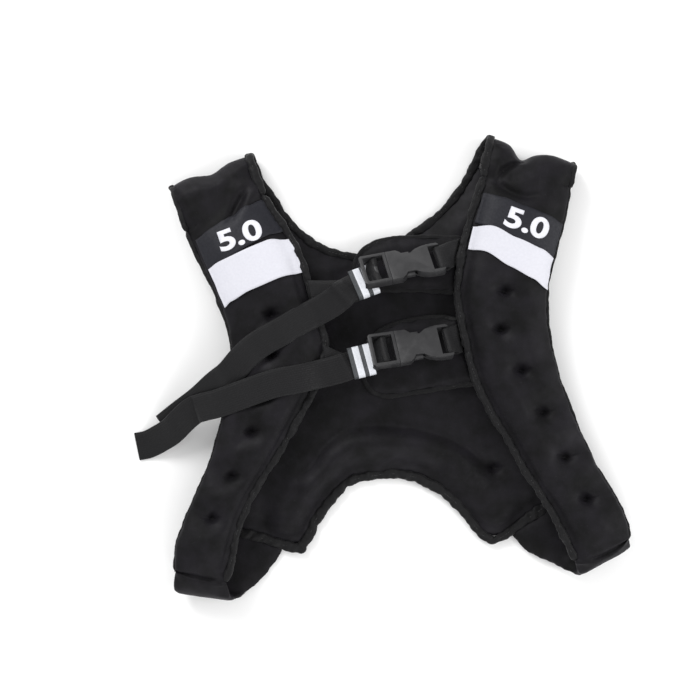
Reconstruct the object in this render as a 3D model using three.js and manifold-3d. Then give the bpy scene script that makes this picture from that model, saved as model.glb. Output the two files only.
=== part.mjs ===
// A short weighted training vest, lying on its back with both buckles fastened.
// Millimetres. +Z is up from the surface that it lies on, +Y points to the neck, +X to the
// wearer's left. The origin is on that surface, under the middle of the padded body.
import * as THREE from "three";
import { mergeVertices } from "three/addons/utils/BufferGeometryUtils.js";
import Module from "manifold-3d";

const wasm = await Module();
wasm.setup();

// The body: how wide and how long it lies, and how high its front layer is.
const VEST_WIDTH = 465;
const VEST_LENGTH = 463;
const FRONT_EDGE_HEIGHT = 36; // middle of a front panel's edge above the surface
const BACK_LIFT = 0.8; // clear air under the back's binding
const CLEARANCE = 0.4; // between pieces that touch

// The padding and the binding that runs round it.
const FRONT_THICKNESS = 25;
const BACK_THICKNESS = 15;
const ARCH_THICKNESS = 24; // the filled pocket along the waist arch
const ARCH_POCKET = 40; // its width, from the binding to its stitched groove
const GROOVE_DEPTH = 5;
const GROOVE_WIDTH = 8;
const EDGE_THICKNESS = 5; // padding where it enters its binding
const PADDING_RAMP = 17; // how far from the binding the padding is full
const SHOULDER_THICKNESS = 8;
const BAND_THICKNESS = 7;
const BINDING_WIDTH = 9;
const BINDING_THICKNESS = 7.4;
const TACK_REACH = 12; // how far a quilting tack draws the padding in
const TACK_LOSS = 0.68; // share of the padding that a tack draws in

// The cloth pieces on the front panels.
const LABEL_THICKNESS = 0.8;
const LABEL_LIFT = 1.2; // from the padding to the middle of the label

// The closure: webbing, side release buckles, keepers and the flaps behind them.
const WEB_WIDTH = 28.5;
const WEB_THICKNESS = 1.6;
const WEB_LIFT = 0.9; // clear air under a strap that lies on something
const WEB_SLACK = 0.8; // clear air beside and between webbing in its slots
const BUCKLE_THICKNESS = 8.5;
const BUCKLE_WALL = 3; // beside the webbing
const LADDER_LENGTH = 27; // the half with the bar that the strap turns round
const SOCKET_LENGTH = 55; // the half that the prongs snap into
const BAR_WIDTH = 4.5;
const BAR_THICKNESS = 3.4;
const END_BAR_WIDTH = 3.6;
const SLOT_LENGTH = 7; // beside the socket's bar
const PRONG_REACH = 24;
const PRONG_WIDTH = 4;
const PRONG_THICKNESS = 3.6;
const TAB_LENGTH = 9; // the press tabs at the prongs' ends
const NOTCH_DEPTH = 5; // the socket's sides give way to the tabs
const CORNER = 2; // of the buckle's outline
const KEEPER_LENGTH = 23;
const KEEPER_THICKNESS = 1.3;
const FLAP_THICKNESS = 6;
const FLAP_TIP_HEIGHT = 19.5; // middle of the flap's round end
const FLAP_BORDER_WIDTH = 8;

const BACK_EDGE_HEIGHT = BINDING_THICKNESS / 2 + BACK_LIFT;
const INSET = BINDING_WIDTH + CLEARANCE;
const SLOT_WIDTH = WEB_WIDTH + 2 * WEB_SLACK;
const BUCKLE_WIDTH = SLOT_WIDTH + 2 * BUCKLE_WALL;
const LAYER_STEP = WEB_THICKNESS + WEB_SLACK; // between the middles of two layers of webbing

// Sections are pairs of edge points. X is a share of the vest's width, Y of its length, and rise
// goes from 0 at the back panel's edge to 1 at a front panel's.
const FRONT_LEFT = [
  { inX: -0.287, inY: 0.381, outX: -0.471, outY: 0.294, rise: 0.81 },
  { inX: -0.25, inY: 0.325, outX: -0.441, outY: 0.229, rise: 0.84 },
  { inX: -0.211, inY: 0.259, outX: -0.408, outY: 0.161, rise: 0.9 },
  { inX: -0.19, inY: 0.192, outX: -0.384, outY: 0.101, rise: 0.94 },
  { inX: -0.172, inY: 0.131, outX: -0.371, outY: 0.051, rise: 0.97 },
  { inX: -0.151, inY: 0.057, outX: -0.368, outY: 0.001, rise: 1 },
  { inX: -0.164, inY: -0.012, outX: -0.375, outY: -0.044, rise: 1 },
  { inX: -0.185, inY: -0.064, outX: -0.386, outY: -0.092, rise: 1 },
  { inX: -0.222, inY: -0.129, outX: -0.403, outY: -0.157, rise: 1 },
  { inX: -0.263, inY: -0.2, outX: -0.424, outY: -0.222, rise: 1 },
  { inX: -0.306, inY: -0.27, outX: -0.452, outY: -0.283, rise: 1 },
  { inX: -0.334, inY: -0.332, outX: -0.476, outY: -0.343, rise: 1.03 },
  { inX: -0.351, inY: -0.397, outX: -0.493, outY: -0.401, rise: 1.06 },
  { inX: -0.364, inY: -0.464, outX: -0.493, outY: -0.438, rise: 1.06 },
];
const FRONT_RIGHT = [
  { inX: 0.172, inY: 0.418, outX: 0.379, outY: 0.392, rise: 0.81 },
  { inX: 0.152, inY: 0.355, outX: 0.366, outY: 0.327, rise: 0.84 },
  { inX: 0.132, inY: 0.287, outX: 0.346, outY: 0.253, rise: 0.9 },
  { inX: 0.119, inY: 0.218, outX: 0.329, outY: 0.187, rise: 0.94 },
  { inX: 0.115, inY: 0.148, outX: 0.326, outY: 0.127, rise: 0.97 },
  { inX: 0.125, inY: 0.092, outX: 0.33, outY: 0.075, rise: 1 },
  { inX: 0.14, inY: 0.023, outX: 0.339, outY: 0.027, rise: 1 },
  { inX: 0.16, inY: -0.042, outX: 0.358, outY: -0.038, rise: 1 },
  { inX: 0.194, inY: -0.107, outX: 0.382, outY: -0.101, rise: 1 },
  { inX: 0.233, inY: -0.17, outX: 0.41, outY: -0.168, rise: 1 },
  { inX: 0.263, inY: -0.226, outX: 0.44, outY: -0.226, rise: 1 },
  { inX: 0.3, inY: -0.282, outX: 0.474, outY: -0.285, rise: 1.03 },
  { inX: 0.332, inY: -0.338, outX: 0.498, outY: -0.336, rise: 1.06 },
  { inX: 0.368, inY: -0.419, outX: 0.502, outY: -0.364, rise: 1.06 },
];
// Each shoulder runs from the back panel over its fold to the front panel.
const SHOULDER_LEFT = [
  { inX: -0.294, inY: 0.413, outX: -0.49, outY: 0.34, rise: 0 },
  { inX: -0.308, inY: 0.448, outX: -0.501, outY: 0.371, rise: 0.01 },
  { inX: -0.317, inY: 0.467, outX: -0.505, outY: 0.389, rise: 0.16 },
  { inX: -0.318, inY: 0.468, outX: -0.506, outY: 0.391, rise: 0.41 },
  { inX: -0.314, inY: 0.459, outX: -0.501, outY: 0.38, rise: 0.66 },
  { inX: -0.302, inY: 0.427, outX: -0.486, outY: 0.34, rise: 0.79 },
  { inX: -0.287, inY: 0.381, outX: -0.471, outY: 0.294, rise: 0.81 },
];
const SHOULDER_RIGHT = [
  { inX: 0.159, inY: 0.455, outX: 0.381, outY: 0.393, rise: 0 },
  { inX: 0.174, inY: 0.484, outX: 0.387, outY: 0.422, rise: 0.01 },
  { inX: 0.188, inY: 0.504, outX: 0.391, outY: 0.441, rise: 0.16 },
  { inX: 0.191, inY: 0.507, outX: 0.39, outY: 0.444, rise: 0.41 },
  { inX: 0.188, inY: 0.496, outX: 0.388, outY: 0.435, rise: 0.66 },
  { inX: 0.18, inY: 0.46, outX: 0.384, outY: 0.412, rise: 0.79 },
  { inX: 0.172, inY: 0.418, outX: 0.379, outY: 0.392, rise: 0.81 },
];
// Each side band leaves the back panel's tongue, turns up and meets the front panel's end.
const BAND_LEFT = [
  { inX: -0.284, inY: -0.453, outX: -0.42, outY: -0.404, rise: -0.01 },
  { inX: -0.323, inY: -0.49, outX: -0.461, outY: -0.452, rise: 0.04 },
  { inX: -0.348, inY: -0.505, outX: -0.488, outY: -0.479, rise: 0.27 },
  { inX: -0.358, inY: -0.506, outX: -0.495, outY: -0.482, rise: 0.55 },
  { inX: -0.363, inY: -0.497, outX: -0.495, outY: -0.466, rise: 0.84 },
  { inX: -0.366, inY: -0.478, outX: -0.494, outY: -0.45, rise: 1.055 },
  { inX: -0.364, inY: -0.464, outX: -0.493, outY: -0.438, rise: 1.06 },
];
const BAND_RIGHT = [
  { inX: 0.275, inY: -0.404, outX: 0.41, outY: -0.327, rise: -0.01 },
  { inX: 0.321, inY: -0.43, outX: 0.459, outY: -0.357, rise: 0.04 },
  { inX: 0.363, inY: -0.446, outX: 0.492, outY: -0.38, rise: 0.27 },
  { inX: 0.386, inY: -0.451, outX: 0.507, outY: -0.386, rise: 0.55 },
  { inX: 0.385, inY: -0.444, outX: 0.506, outY: -0.379, rise: 0.84 },
  { inX: 0.378, inY: -0.433, outX: 0.505, outY: -0.373, rise: 1.055 },
  { inX: 0.368, inY: -0.419, outX: 0.502, outY: -0.364, rise: 1.06 },
];
// Shares of a tongue's end, from its outer corner, between which a band is sewn on.
const BAND_SEAT = { outer: 0.17, inner: 0.88 };

// The back panel's outline: [share of width, share of length].
const WAIST_ARCH = [
  [-0.226, -0.408], [-0.2, -0.391], [-0.176, -0.344], [-0.143, -0.296], [-0.101, -0.257],
  [-0.053, -0.247], [0.013, -0.245], [0.064, -0.265], [0.117, -0.302], [0.156, -0.351],
  [0.183, -0.38], [0.229, -0.382],
];
const NECKLINE = [
  [-0.294, 0.413], [-0.264, 0.369], [-0.235, 0.329], [-0.2, 0.294], [-0.162, 0.271],
  [-0.103, 0.255], [-0.059, 0.256], [-0.015, 0.278], [0.029, 0.305], [0.082, 0.345],
  [0.123, 0.393], [0.159, 0.455],
];
const LEFT_SIDE = [
  [-0.411, -0.351], [-0.4, -0.291], [-0.382, -0.225], [-0.36, -0.148], [-0.343, -0.07],
  [-0.341, 0.007], [-0.354, 0.073], [-0.385, 0.139], [-0.422, 0.203], [-0.459, 0.27],
  [-0.49, 0.34],
];
const RIGHT_SIDE = [
  [0.385, -0.269], [0.376, -0.207], [0.35, -0.137], [0.323, -0.059], [0.306, 0.018],
  [0.299, 0.095], [0.31, 0.172], [0.332, 0.243], [0.359, 0.316], [0.381, 0.393],
];
// Where the middle of the back meets its two sides, as shares of the arch and of the neckline.
const MIDDLE = { archLeft: 4 / 11, archRight: 7 / 11, neckLeft: 5 / 11, neckRight: 8 / 11 };

// Quilting tacks of the front panels and the two that end the waist arch's groove.
const TACKS_LEFT = [
  [-0.277, 0.117], [-0.28, 0.035], [-0.297, -0.05], [-0.319, -0.136], [-0.364, -0.231],
  [-0.405, -0.321],
];
const TACKS_RIGHT = [
  [0.226, 0.169], [0.218, 0.087], [0.263, -0.003], [0.31, -0.093], [0.357, -0.19],
  [0.402, -0.28],
];
const ARCH_TACKS = [[-0.25, -0.259], [0.214, -0.219]];

// Folds that dent the shoulders: where they are and how far they reach, as shares of the strip,
// and their push along X, Y and Z as shares of the shoulder's thickness.
const FOLDS_LEFT = [
  { along: 0.86, across: 0.42, reachAlong: 0.16, reachAcross: 0.09, push: [0, 0, -0.45] },
];
const FOLDS_RIGHT = [
  { along: 0.5, across: 0.4, reachAlong: 0.2, reachAcross: 0.13, push: [-0.2, -1.05, -0.3] },
  { along: 0.9, across: 0.33, reachAlong: 0.12, reachAcross: 0.2, push: [0, 0, -0.5] },
];

// Cloth pieces: the stretch of the front panel that they cover at its inner and outer edge.
const CLOTHS = [
  { name: "weight_patch_left", panel: "left", inner: [0.015, 0.1], outer: [0.025, 0.107] },
  { name: "weight_patch_right", panel: "right", inner: [0.035, 0.112], outer: [0.06, 0.137] },
  { name: "label_left", panel: "left", inner: [0.115, 0.208], outer: [0.112, 0.198] },
  { name: "label_right", panel: "right", inner: [0.128, 0.183], outer: [0.152, 0.228] },
];

// Flaps from their sewn root to their round tip, as shares of width and length; drop goes from 0
// at the root's height to 1 at the tip's.
const FLAP_UPPER = [
  { topX: 0.137, topY: 0.293, lowX: 0.12, lowY: 0.157, drop: 0 },
  { topX: 0.095, topY: 0.295, lowX: 0.08, lowY: 0.161, drop: 0.6 },
  { topX: 0.035, topY: 0.295, lowX: 0.03, lowY: 0.163, drop: 0.85 },
  { topX: -0.018, topY: 0.292, lowX: -0.018, lowY: 0.162, drop: 0.93 },
  { topX: -0.056, topY: 0.282, lowX: -0.056, lowY: 0.163, drop: 0.97 },
  { topX: -0.082, topY: 0.267, lowX: -0.082, lowY: 0.17, drop: 0.94 },
  { topX: -0.098, topY: 0.248, lowX: -0.098, lowY: 0.185, drop: 0.98 },
  { topX: -0.105, topY: 0.229, lowX: -0.105, lowY: 0.205, drop: 1 },
];
const FLAP_LOWER = [
  { topX: 0.127, topY: 0.115, lowX: 0.165, lowY: -0.042, drop: 0 },
  { topX: 0.09, topY: 0.12, lowX: 0.114, lowY: -0.049, drop: 0.6 },
  { topX: 0.04, topY: 0.117, lowX: 0.055, lowY: -0.058, drop: 0.85 },
  { topX: -0.004, topY: 0.107, lowX: 0.005, lowY: -0.066, drop: 0.93 },
  { topX: -0.039, topY: 0.092, lowX: -0.032, lowY: -0.07, drop: 0.97 },
  { topX: -0.067, topY: 0.071, lowX: -0.063, lowY: -0.059, drop: 0.94 },
  { topX: -0.084, topY: 0.043, lowX: -0.08, lowY: -0.036, drop: 0.98 },
  { topX: -0.091, topY: 0.019, lowX: -0.089, lowY: -0.006, drop: 1 },
];

// The two closures. Middles are shares of width and length, heights millimetres above the
// surface and angles degrees: turn about Z, pitch down to the right, roll up at the waist side.
// A keeper hangs from its buckle's crossbar, back and down in millimetres, and its angles are
// from the buckle's. The tail runs from the keeper to its loose end.
const CLOSURES = [
  {
    name: "upper",
    buckle: { x: 0.004, y: 0.221, height: 47, turn: 11, pitch: 7, roll: 36 },
    keeper: { back: 4, drop: 12, turn: 14, pitch: -9, roll: 12 },
    seam: { x: -0.193, y: 0.16, turn: 12 },
    webSeam: 0.249,
    tail: [
      [-0.145, 0.142], [-0.18, 0.122], [-0.215, 0.103], [-0.25, 0.082], [-0.285, 0.063],
      [-0.315, 0.043], [-0.341, 0.018], [-0.367, -0.012], [-0.397, -0.036], [-0.433, -0.068],
      [-0.476, -0.1], [-0.515, -0.13],
    ],
  },
  {
    name: "lower",
    buckle: { x: 0.022, y: 0.047, height: 46, turn: 8, pitch: 8, roll: 28 },
    keeper: { back: 8, drop: 11, turn: 10, pitch: -8, roll: 10 },
    seam: { x: -0.162, y: 0.022, turn: 6 },
    webSeam: 0.064,
    tail: [
      [-0.138, -0.003], [-0.178, -0.013], [-0.219, -0.022], [-0.263, -0.03], [-0.306, -0.044],
      [-0.352, -0.061], [-0.394, -0.076], [-0.425, -0.084], [-0.447, -0.092],
      [-0.473, -0.114], [-0.498, -0.138], [-0.525, -0.155], [-0.553, -0.169], [-0.577, -0.174],
    ],
  },
];

const FINISHES = {
  neoprene: { color: 0x1d1d1f, roughness: 0.85, metalness: 0 },
  binding: { color: 0x232326, roughness: 0.9, metalness: 0 },
  webbing: { color: 0x202024, roughness: 0.75, metalness: 0 },
  plastic: { color: 0x2b2b2d, roughness: 0.45, metalness: 0 },
  label: { color: 0xd9dbe6, roughness: 0.6, metalness: 0 },
  patch: { color: 0x191b21, roughness: 0.7, metalness: 0 },
  keeper: { color: 0x3a3d44, roughness: 0.8, metalness: 0 },
};
const UP = new THREE.Vector3(0, 0, 1);
const DOWN = new THREE.Vector3(0, 0, -1);

const vest = new THREE.Group();

function addPiece(name, geometry, finish, parent = vest) {
  const piece = new THREE.Mesh(geometry, new THREE.MeshStandardMaterial(FINISHES[finish]));
  piece.name = name;
  parent.add(piece);
  return piece;
}

function place(x, y, rise = 0) {
  const height = BACK_EDGE_HEIGHT + rise * (FRONT_EDGE_HEIGHT - BACK_EDGE_HEIGHT);
  return new THREE.Vector3(x * VEST_WIDTH, y * VEST_LENGTH, height);
}

function range(count, from = 0, to = 1) {
  return Array.from({ length: count + 1 }, (_, i) => from + ((to - from) * i) / count);
}

function smoothStep(share) {
  const t = Math.min(1, Math.max(0, share));
  return t * t * (3 - 2 * t);
}

// 0 to 1, rising at once as padding does beside a seam.
function swell(share) {
  return Math.sin((Math.min(1, Math.max(0, share)) * Math.PI) / 2);
}

// 0 to 1 to 0 across a padded pocket, with full shoulders.
function crown(share) {
  return Math.max(0, 1 - Math.abs(2 * share - 1) ** 2.6);
}

// A closed body from points and flat faces, turned over if its faces point inwards.
function bodyFrom(points, faces) {
  const index = [];
  for (const face of faces) {
    for (let k = 1; k + 1 < face.length; k++) index.push(face[0], face[k], face[k + 1]);
  }
  let volume = 0;
  for (let i = 0; i < index.length; i += 3) {
    const [a, b, c] = [points[index[i]], points[index[i + 1]], points[index[i + 2]]];
    volume += a.dot(b.clone().cross(c));
  }
  if (volume < 0) index.reverse();
  const geometry = new THREE.BufferGeometry().setFromPoints(points);
  geometry.setIndex(index);
  geometry.computeVertexNormals();
  return geometry;
}

// A closed slab from one or more grids that share their edge points. Each place in a grid has
// an upper and an under point.
function slab(...grids) {
  const places = new Map();
  const upper = [];
  const under = [];
  const indexOf = (spot) => {
    const key = spot.upper.toArray().map((v) => v.toFixed(3)).join();
    if (!places.has(key)) {
      places.set(key, upper.length);
      upper.push(spot.upper);
      under.push(spot.under);
    }
    return places.get(key);
  };
  const quads = [];
  for (const grid of grids) {
    for (let i = 0; i + 1 < grid.length; i++) {
      for (let j = 0; j + 1 < grid[i].length; j++) {
        const corners = [grid[i][j], grid[i][j + 1], grid[i + 1][j + 1], grid[i + 1][j]];
        quads.push(corners.map(indexOf));
      }
    }
  }
  const count = upper.length;
  const edges = new Set();
  const edgesOf = (quad) => quad.map((from, k) => [from, quad[(k + 1) % 4]]);
  for (const quad of quads) edgesOf(quad).forEach((edge) => edges.add(edge.join()));
  const faces = [];
  for (const quad of quads) {
    faces.push(quad, quad.map((k) => k + count).reverse());
    for (const [from, to] of edgesOf(quad)) {
      if (!edges.has([to, from].join())) faces.push([to, from, from + count, to + count]);
    }
  }
  return bodyFrom([...upper, ...under], faces);
}

// A closed tube of one section. A frame has a point, an out vector and a normal; the section
// lists shares of the width along out and of the thickness along the normal.
function tube(frames, section, width, thickness) {
  const sides = section.length;
  const points = frames.flatMap((frame) =>
    section.map(([u, v]) =>
      frame.point.clone()
        .addScaledVector(frame.out, u * width)
        .addScaledVector(frame.normal, v * thickness),
    ),
  );
  const faces = [];
  for (let i = 0; i + 1 < frames.length; i++) {
    for (let k = 0; k < sides; k++) {
      const [a, b] = [i * sides + k, i * sides + ((k + 1) % sides)];
      const face = [a, b, b + sides, a + sides];
      if (k >= sides / 2) face.push(face.shift()); // its diagonal runs as on the side across
      faces.push(face);
    }
  }
  const first = range(sides - 1, 0, sides - 1);
  faces.push([...first].reverse());
  faces.push(first.map((k) => k + (frames.length - 1) * sides));
  return bodyFrom(points, faces);
}

const TAPE_SECTION = [[-0.5, 0], [-0.3, 0.5], [0.3, 0.5], [0.5, 0], [0.3, -0.5], [-0.3, -0.5]];
const WEB_SECTION = [[-0.5, -0.5], [-0.5, 0.5], [0.5, 0.5], [0.5, -0.5]];

// A strip between two smooth edge curves. Its normal points up on a front panel and out of the
// loop on a fold; the turn is 1 or -1 and sets that.
class Strip {
  constructor(rows, turn, folds = []) {
    const edge = (x, y) => {
      const points = rows.map((row) => place(row[x], row[y], row.rise));
      return new THREE.CatmullRomCurve3(points, false, "centripetal");
    };
    this.inner = edge("inX", "inY");
    this.outer = edge("outX", "outY");
    this.turn = turn;
    this.folds = folds;
    this.length = (this.inner.getLength() + this.outer.getLength()) / 2;
  }
  middle(along) {
    return this.inner.getPoint(along).lerp(this.outer.getPoint(along), 0.5);
  }
  frame(along) {
    const step = 0.004;
    const inner = this.inner.getPoint(along);
    const outer = this.outer.getPoint(along);
    const across = outer.clone().sub(inner).normalize();
    const ahead = this.middle(Math.min(along + step, 1));
    const heading = ahead.sub(this.middle(Math.max(along - step, 0)));
    const normal = heading.cross(across).multiplyScalar(this.turn).normalize();
    return { inner, outer, across, normal, width: inner.distanceTo(outer) };
  }
  fold(along, across) {
    const push = new THREE.Vector3();
    for (const fold of this.folds) {
      const away = ((along - fold.along) / fold.reachAlong) ** 2
        + ((across - fold.across) / fold.reachAcross) ** 2;
      push.addScaledVector(new THREE.Vector3(...fold.push), Math.exp(-away));
    }
    return push.multiplyScalar(SHOULDER_THICKNESS);
  }
  // A place on the middle surface; across runs from 0 to 1 between the two insets.
  spot(along, across, inset) {
    const frame = this.frame(along);
    const reach = inset + across * (frame.width - 2 * inset);
    const point = frame.inner.clone().addScaledVector(frame.across, reach);
    point.add(this.fold(along, reach / frame.width));
    return { point, normal: frame.normal };
  }
  tapeFrames(edge, stations) {
    const sign = edge === "inner" ? -1 : 1;
    return stations.map((along) => {
      const frame = this.frame(along);
      const out = frame.across.clone().multiplyScalar(sign);
      const point = frame[edge].clone().addScaledVector(out, -BINDING_WIDTH / 2);
      point.add(this.fold(along, edge === "inner" ? 0 : 1));
      return { point, out, normal: frame.normal };
    });
  }
}

// How much of the padding is left near the tacks: 1 away from all of them.
function tackShare(point, tacks) {
  let left = 1;
  for (const [x, y] of tacks) {
    const away = Math.hypot(point.x - x * VEST_WIDTH, point.y - y * VEST_LENGTH);
    left *= 1 - TACK_LOSS * Math.exp(-((away / TACK_REACH) ** 2));
  }
  return left;
}

// Front panels: padded strips, fuller above their middle surface than below it.
const FRONT_ROWS = 26;
const FRONT_COLUMNS = 7;
const UPPER_SHARE = 0.55;
const frontStrips = { left: new Strip(FRONT_LEFT, -1), right: new Strip(FRONT_RIGHT, 1) };
const frontTacks = { left: TACKS_LEFT, right: TACKS_RIGHT };

function frontSpot(side, along, across) {
  const strip = frontStrips[side];
  const { point, normal } = strip.spot(along, across, INSET);
  const fromEnd = Math.min(along, 1 - along) * strip.length;
  const full = FRONT_THICKNESS - EDGE_THICKNESS;
  const seam = (SHOULDER_THICKNESS - EDGE_THICKNESS) / full;
  const ends = seam + (1 - seam) * swell(fromEnd / (2 * PADDING_RAMP));
  const padding = full * crown(across) * ends * tackShare(point, frontTacks[side]);
  const top = EDGE_THICKNESS / 2 + padding * UPPER_SHARE;
  const bottom = EDGE_THICKNESS / 2 + padding * (1 - UPPER_SHARE);
  return {
    upper: point.clone().addScaledVector(normal, top),
    under: point.clone().addScaledVector(normal, -bottom),
    normal,
  };
}

function addFrontPanel(side) {
  const strip = frontStrips[side];
  const trim = CLEARANCE / strip.length;
  const stations = range(FRONT_ROWS, trim, 1 - trim);
  const acrosses = range(FRONT_COLUMNS).map((u) => 0.5 - 0.5 * Math.cos(Math.PI * u));
  const grid = stations.map((along) => acrosses.map((across) => frontSpot(side, along, across)));
  const panel = addPiece(`front_panel_${side}`, slab(grid), "neoprene");
  const tapes = ["inner", "outer"].map((edge) => {
    const frames = strip.tapeFrames(edge, stations);
    const geometry = tube(frames, TAPE_SECTION, BINDING_WIDTH, BINDING_THICKNESS);
    return addPiece(`binding_front_${side}_${edge}`, geometry, "binding");
  });
  return [panel, ...tapes];
}

// The back panel. Its edges are stations with a point and an out vector, which is longer at a
// corner so that the tape and the padding meet there on the corner's bisector.
const curveOf = (outline) =>
  new THREE.CatmullRomCurve3(outline.map(([x, y]) => place(x, y)), false, "centripetal");
const backCurves = {
  arch: curveOf(WAIST_ARCH),
  neck: curveOf(NECKLINE),
  left: curveOf(LEFT_SIDE),
  right: curveOf(RIGHT_SIDE),
};

function edgeStation(curve, t, side) {
  const heading = curve.getTangent(t);
  const out = new THREE.Vector3(heading.y, -heading.x, 0).normalize().multiplyScalar(side);
  return { point: curve.getPoint(t), out };
}

function cornerStation(corner, alongOne, alongOther) {
  const one = alongOne.clone().sub(corner).normalize();
  const other = alongOther.clone().sub(corner).normalize();
  const slant = Math.abs(one.x * other.y - one.y * other.x);
  return { point: corner, out: one.add(other).divideScalar(-slant) };
}

function insetSpot(station, inset) {
  return station.point.clone().addScaledVector(station.out, -inset);
}

const LEG_ROWS = { arch: 6, middle: 9, neck: 6 };
const LEG_COLUMNS = 6;
const MIDDLE_COLUMNS = 9;
const ROWS = LEG_ROWS.arch + LEG_ROWS.middle + LEG_ROWS.neck;

// One leg of the back: its side edge and the parts of the arch and the neckline that belong to
// it, all from the tongue to the shoulder.
function legOf(side) {
  const left = side === "left";
  const sideCurve = backCurves[side];
  const sign = left ? -1 : 1;
  const outerCorner = sideCurve.getPoint(0);
  const innerCorner = backCurves.arch.getPoint(left ? 0 : 1);
  const archBend = backCurves.arch.getPoint(left ? 0.03 : 0.97);
  const neckEnd = backCurves.neck.getPoint(left ? 0 : 1);
  const seamAcross = sideCurve.getPoint(1).sub(neckEnd).normalize();
  const outer = range(ROWS).map((t) => edgeStation(sideCurve, t, sign));
  outer[0] = cornerStation(outerCorner, sideCurve.getPoint(0.05), innerCorner);
  outer[ROWS] = { point: sideCurve.getPoint(1), out: seamAcross };
  const archTo = left ? MIDDLE.archLeft : MIDDLE.archRight;
  const arch = range(LEG_ROWS.arch, left ? 0 : 1, archTo)
    .map((t) => edgeStation(backCurves.arch, t, 1));
  arch[0] = cornerStation(innerCorner, archBend, outerCorner);
  const neckFrom = left ? MIDDLE.neckLeft : MIDDLE.neckRight;
  const neck = range(LEG_ROWS.neck, neckFrom, left ? 0 : 1)
    .map((t) => edgeStation(backCurves.neck, t, -1));
  neck[LEG_ROWS.neck] = { point: neckEnd, out: seamAcross.clone().negate() };
  return { outer, arch, neck };
}

const legs = { left: legOf("left"), right: legOf("right") };
const middleArch = range(MIDDLE_COLUMNS, MIDDLE.archLeft, MIDDLE.archRight)
  .map((t) => edgeStation(backCurves.arch, t, 1));
const middleNeck = range(MIDDLE_COLUMNS, MIDDLE.neckLeft, MIDDLE.neckRight)
  .map((t) => edgeStation(backCurves.neck, t, -1));

const archLine = [
  ...legs.left.arch.slice(0, -1), ...middleArch, ...legs.right.arch.slice(0, -1).reverse(),
];
const neckLine = [
  ...legs.left.neck.slice(1).reverse(), ...middleNeck, ...legs.right.neck.slice(1),
];

function distanceToLine(point, stations) {
  let nearest = Infinity;
  const closest = new THREE.Vector3();
  for (let i = 0; i + 1 < stations.length; i++) {
    const line = new THREE.Line3(stations[i].point, stations[i + 1].point);
    line.closestPointToPoint(point, true, closest);
    nearest = Math.min(nearest, Math.hypot(closest.x - point.x, closest.y - point.y));
  }
  return nearest;
}

const tongueEnds = [
  [legs.left.outer[0], legs.left.arch[0]], [legs.right.outer[0], legs.right.arch[0]],
];
const backEdges = [legs.left.outer, legs.right.outer, archLine, neckLine, ...tongueEnds];
const shoulderSeams = ["left", "right"].map((side) => [
  legs[side].outer[ROWS], legs[side].neck[LEG_ROWS.neck],
]);

function backSpot(point) {
  const fromEdge = Math.min(...backEdges.map((edge) => distanceToLine(point, edge))) - INSET;
  const fromArch = distanceToLine(point, archLine) - INSET;
  const fromSeam = Math.min(...shoulderSeams.map((seam) => distanceToLine(point, seam)));
  const edgeTop = BACK_EDGE_HEIGHT + EDGE_THICKNESS / 2;
  const edgeBottom = BACK_EDGE_HEIGHT - EDGE_THICKNESS / 2;
  const ramp = smoothStep(0.5 + fromEdge / (2 * PADDING_RAMP)) * 2 - 1;
  const seamTop = BACK_EDGE_HEIGHT + SHOULDER_THICKNESS / 2;
  const reach = seamTop + (BACK_THICKNESS - seamTop) * smoothStep(fromSeam / (2 * PADDING_RAMP));
  const pocket = crown(fromArch / ARCH_POCKET) * (ARCH_THICKNESS - BACK_THICKNESS);
  const groove = GROOVE_DEPTH * Math.exp(-(((fromArch - ARCH_POCKET) / GROOVE_WIDTH) ** 2));
  const full = (reach - edgeTop + pocket - groove) * ramp * tackShare(point, ARCH_TACKS);
  const bottom = edgeBottom * (1 - smoothStep(fromEdge / (PADDING_RAMP / 2)));
  return {
    upper: new THREE.Vector3(point.x, point.y, edgeTop + full),
    under: new THREE.Vector3(point.x, point.y, bottom),
  };
}

function addBackPanel() {
  const lineOf = (from, to) =>
    range(LEG_ROWS.middle).map((t) => from.clone().lerp(to, t));
  const inner = {};
  const grids = [];
  for (const side of ["left", "right"]) {
    const leg = legs[side];
    const arch = leg.arch.map((station) => insetSpot(station, INSET));
    const neck = leg.neck.map((station) => insetSpot(station, INSET));
    inner[side] = lineOf(arch.at(-1), neck[0]);
    const inward = [...arch.slice(0, -1), ...inner[side], ...neck.slice(1)];
    const outward = leg.outer.map((station) => insetSpot(station, INSET));
    grids.push(inward.map((spot, row) => {
      const line = range(LEG_COLUMNS).map((u) => outward[row].clone().lerp(spot, u));
      return side === "left" ? line : line.reverse();
    }));
  }
  const bottom = middleArch.map((station) => insetSpot(station, INSET));
  const top = middleNeck.map((station) => insetSpot(station, INSET));
  grids.push(range(LEG_ROWS.middle).map((t, row) => range(MIDDLE_COLUMNS).map((u, column) => {
    const ruled = bottom[column].clone().lerp(top[column], t);
    const across = inner.left[row].clone().lerp(inner.right[row], u);
    const low = bottom[0].clone().lerp(bottom.at(-1), u);
    const high = top[0].clone().lerp(top.at(-1), u);
    return ruled.add(across).sub(low.lerp(high, t));
  })));
  return addPiece("back_panel", slab(...grids.map((grid) => grid.map((row) => row.map(backSpot)))),
    "neoprene");
}

// Shoulders and side bands: strips of even thickness.
const SHOULDER_ROWS = 10;
const SHOULDER_COLUMNS = 6;
const BAND_ROWS = 12;
const BAND_COLUMNS = 4;

function evenStrip(strip, stations, columns, inset, thickness) {
  return slab(stations.map((along) => range(columns).map((across) => {
    const { point, normal } = strip.spot(along, across, inset);
    return {
      upper: point.clone().addScaledVector(normal, thickness / 2),
      under: point.clone().addScaledVector(normal, -thickness / 2),
    };
  })));
}

const shoulderStrips = {
  left: new Strip(SHOULDER_LEFT, -1, FOLDS_LEFT),
  right: new Strip(SHOULDER_RIGHT, 1, FOLDS_RIGHT),
};

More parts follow.
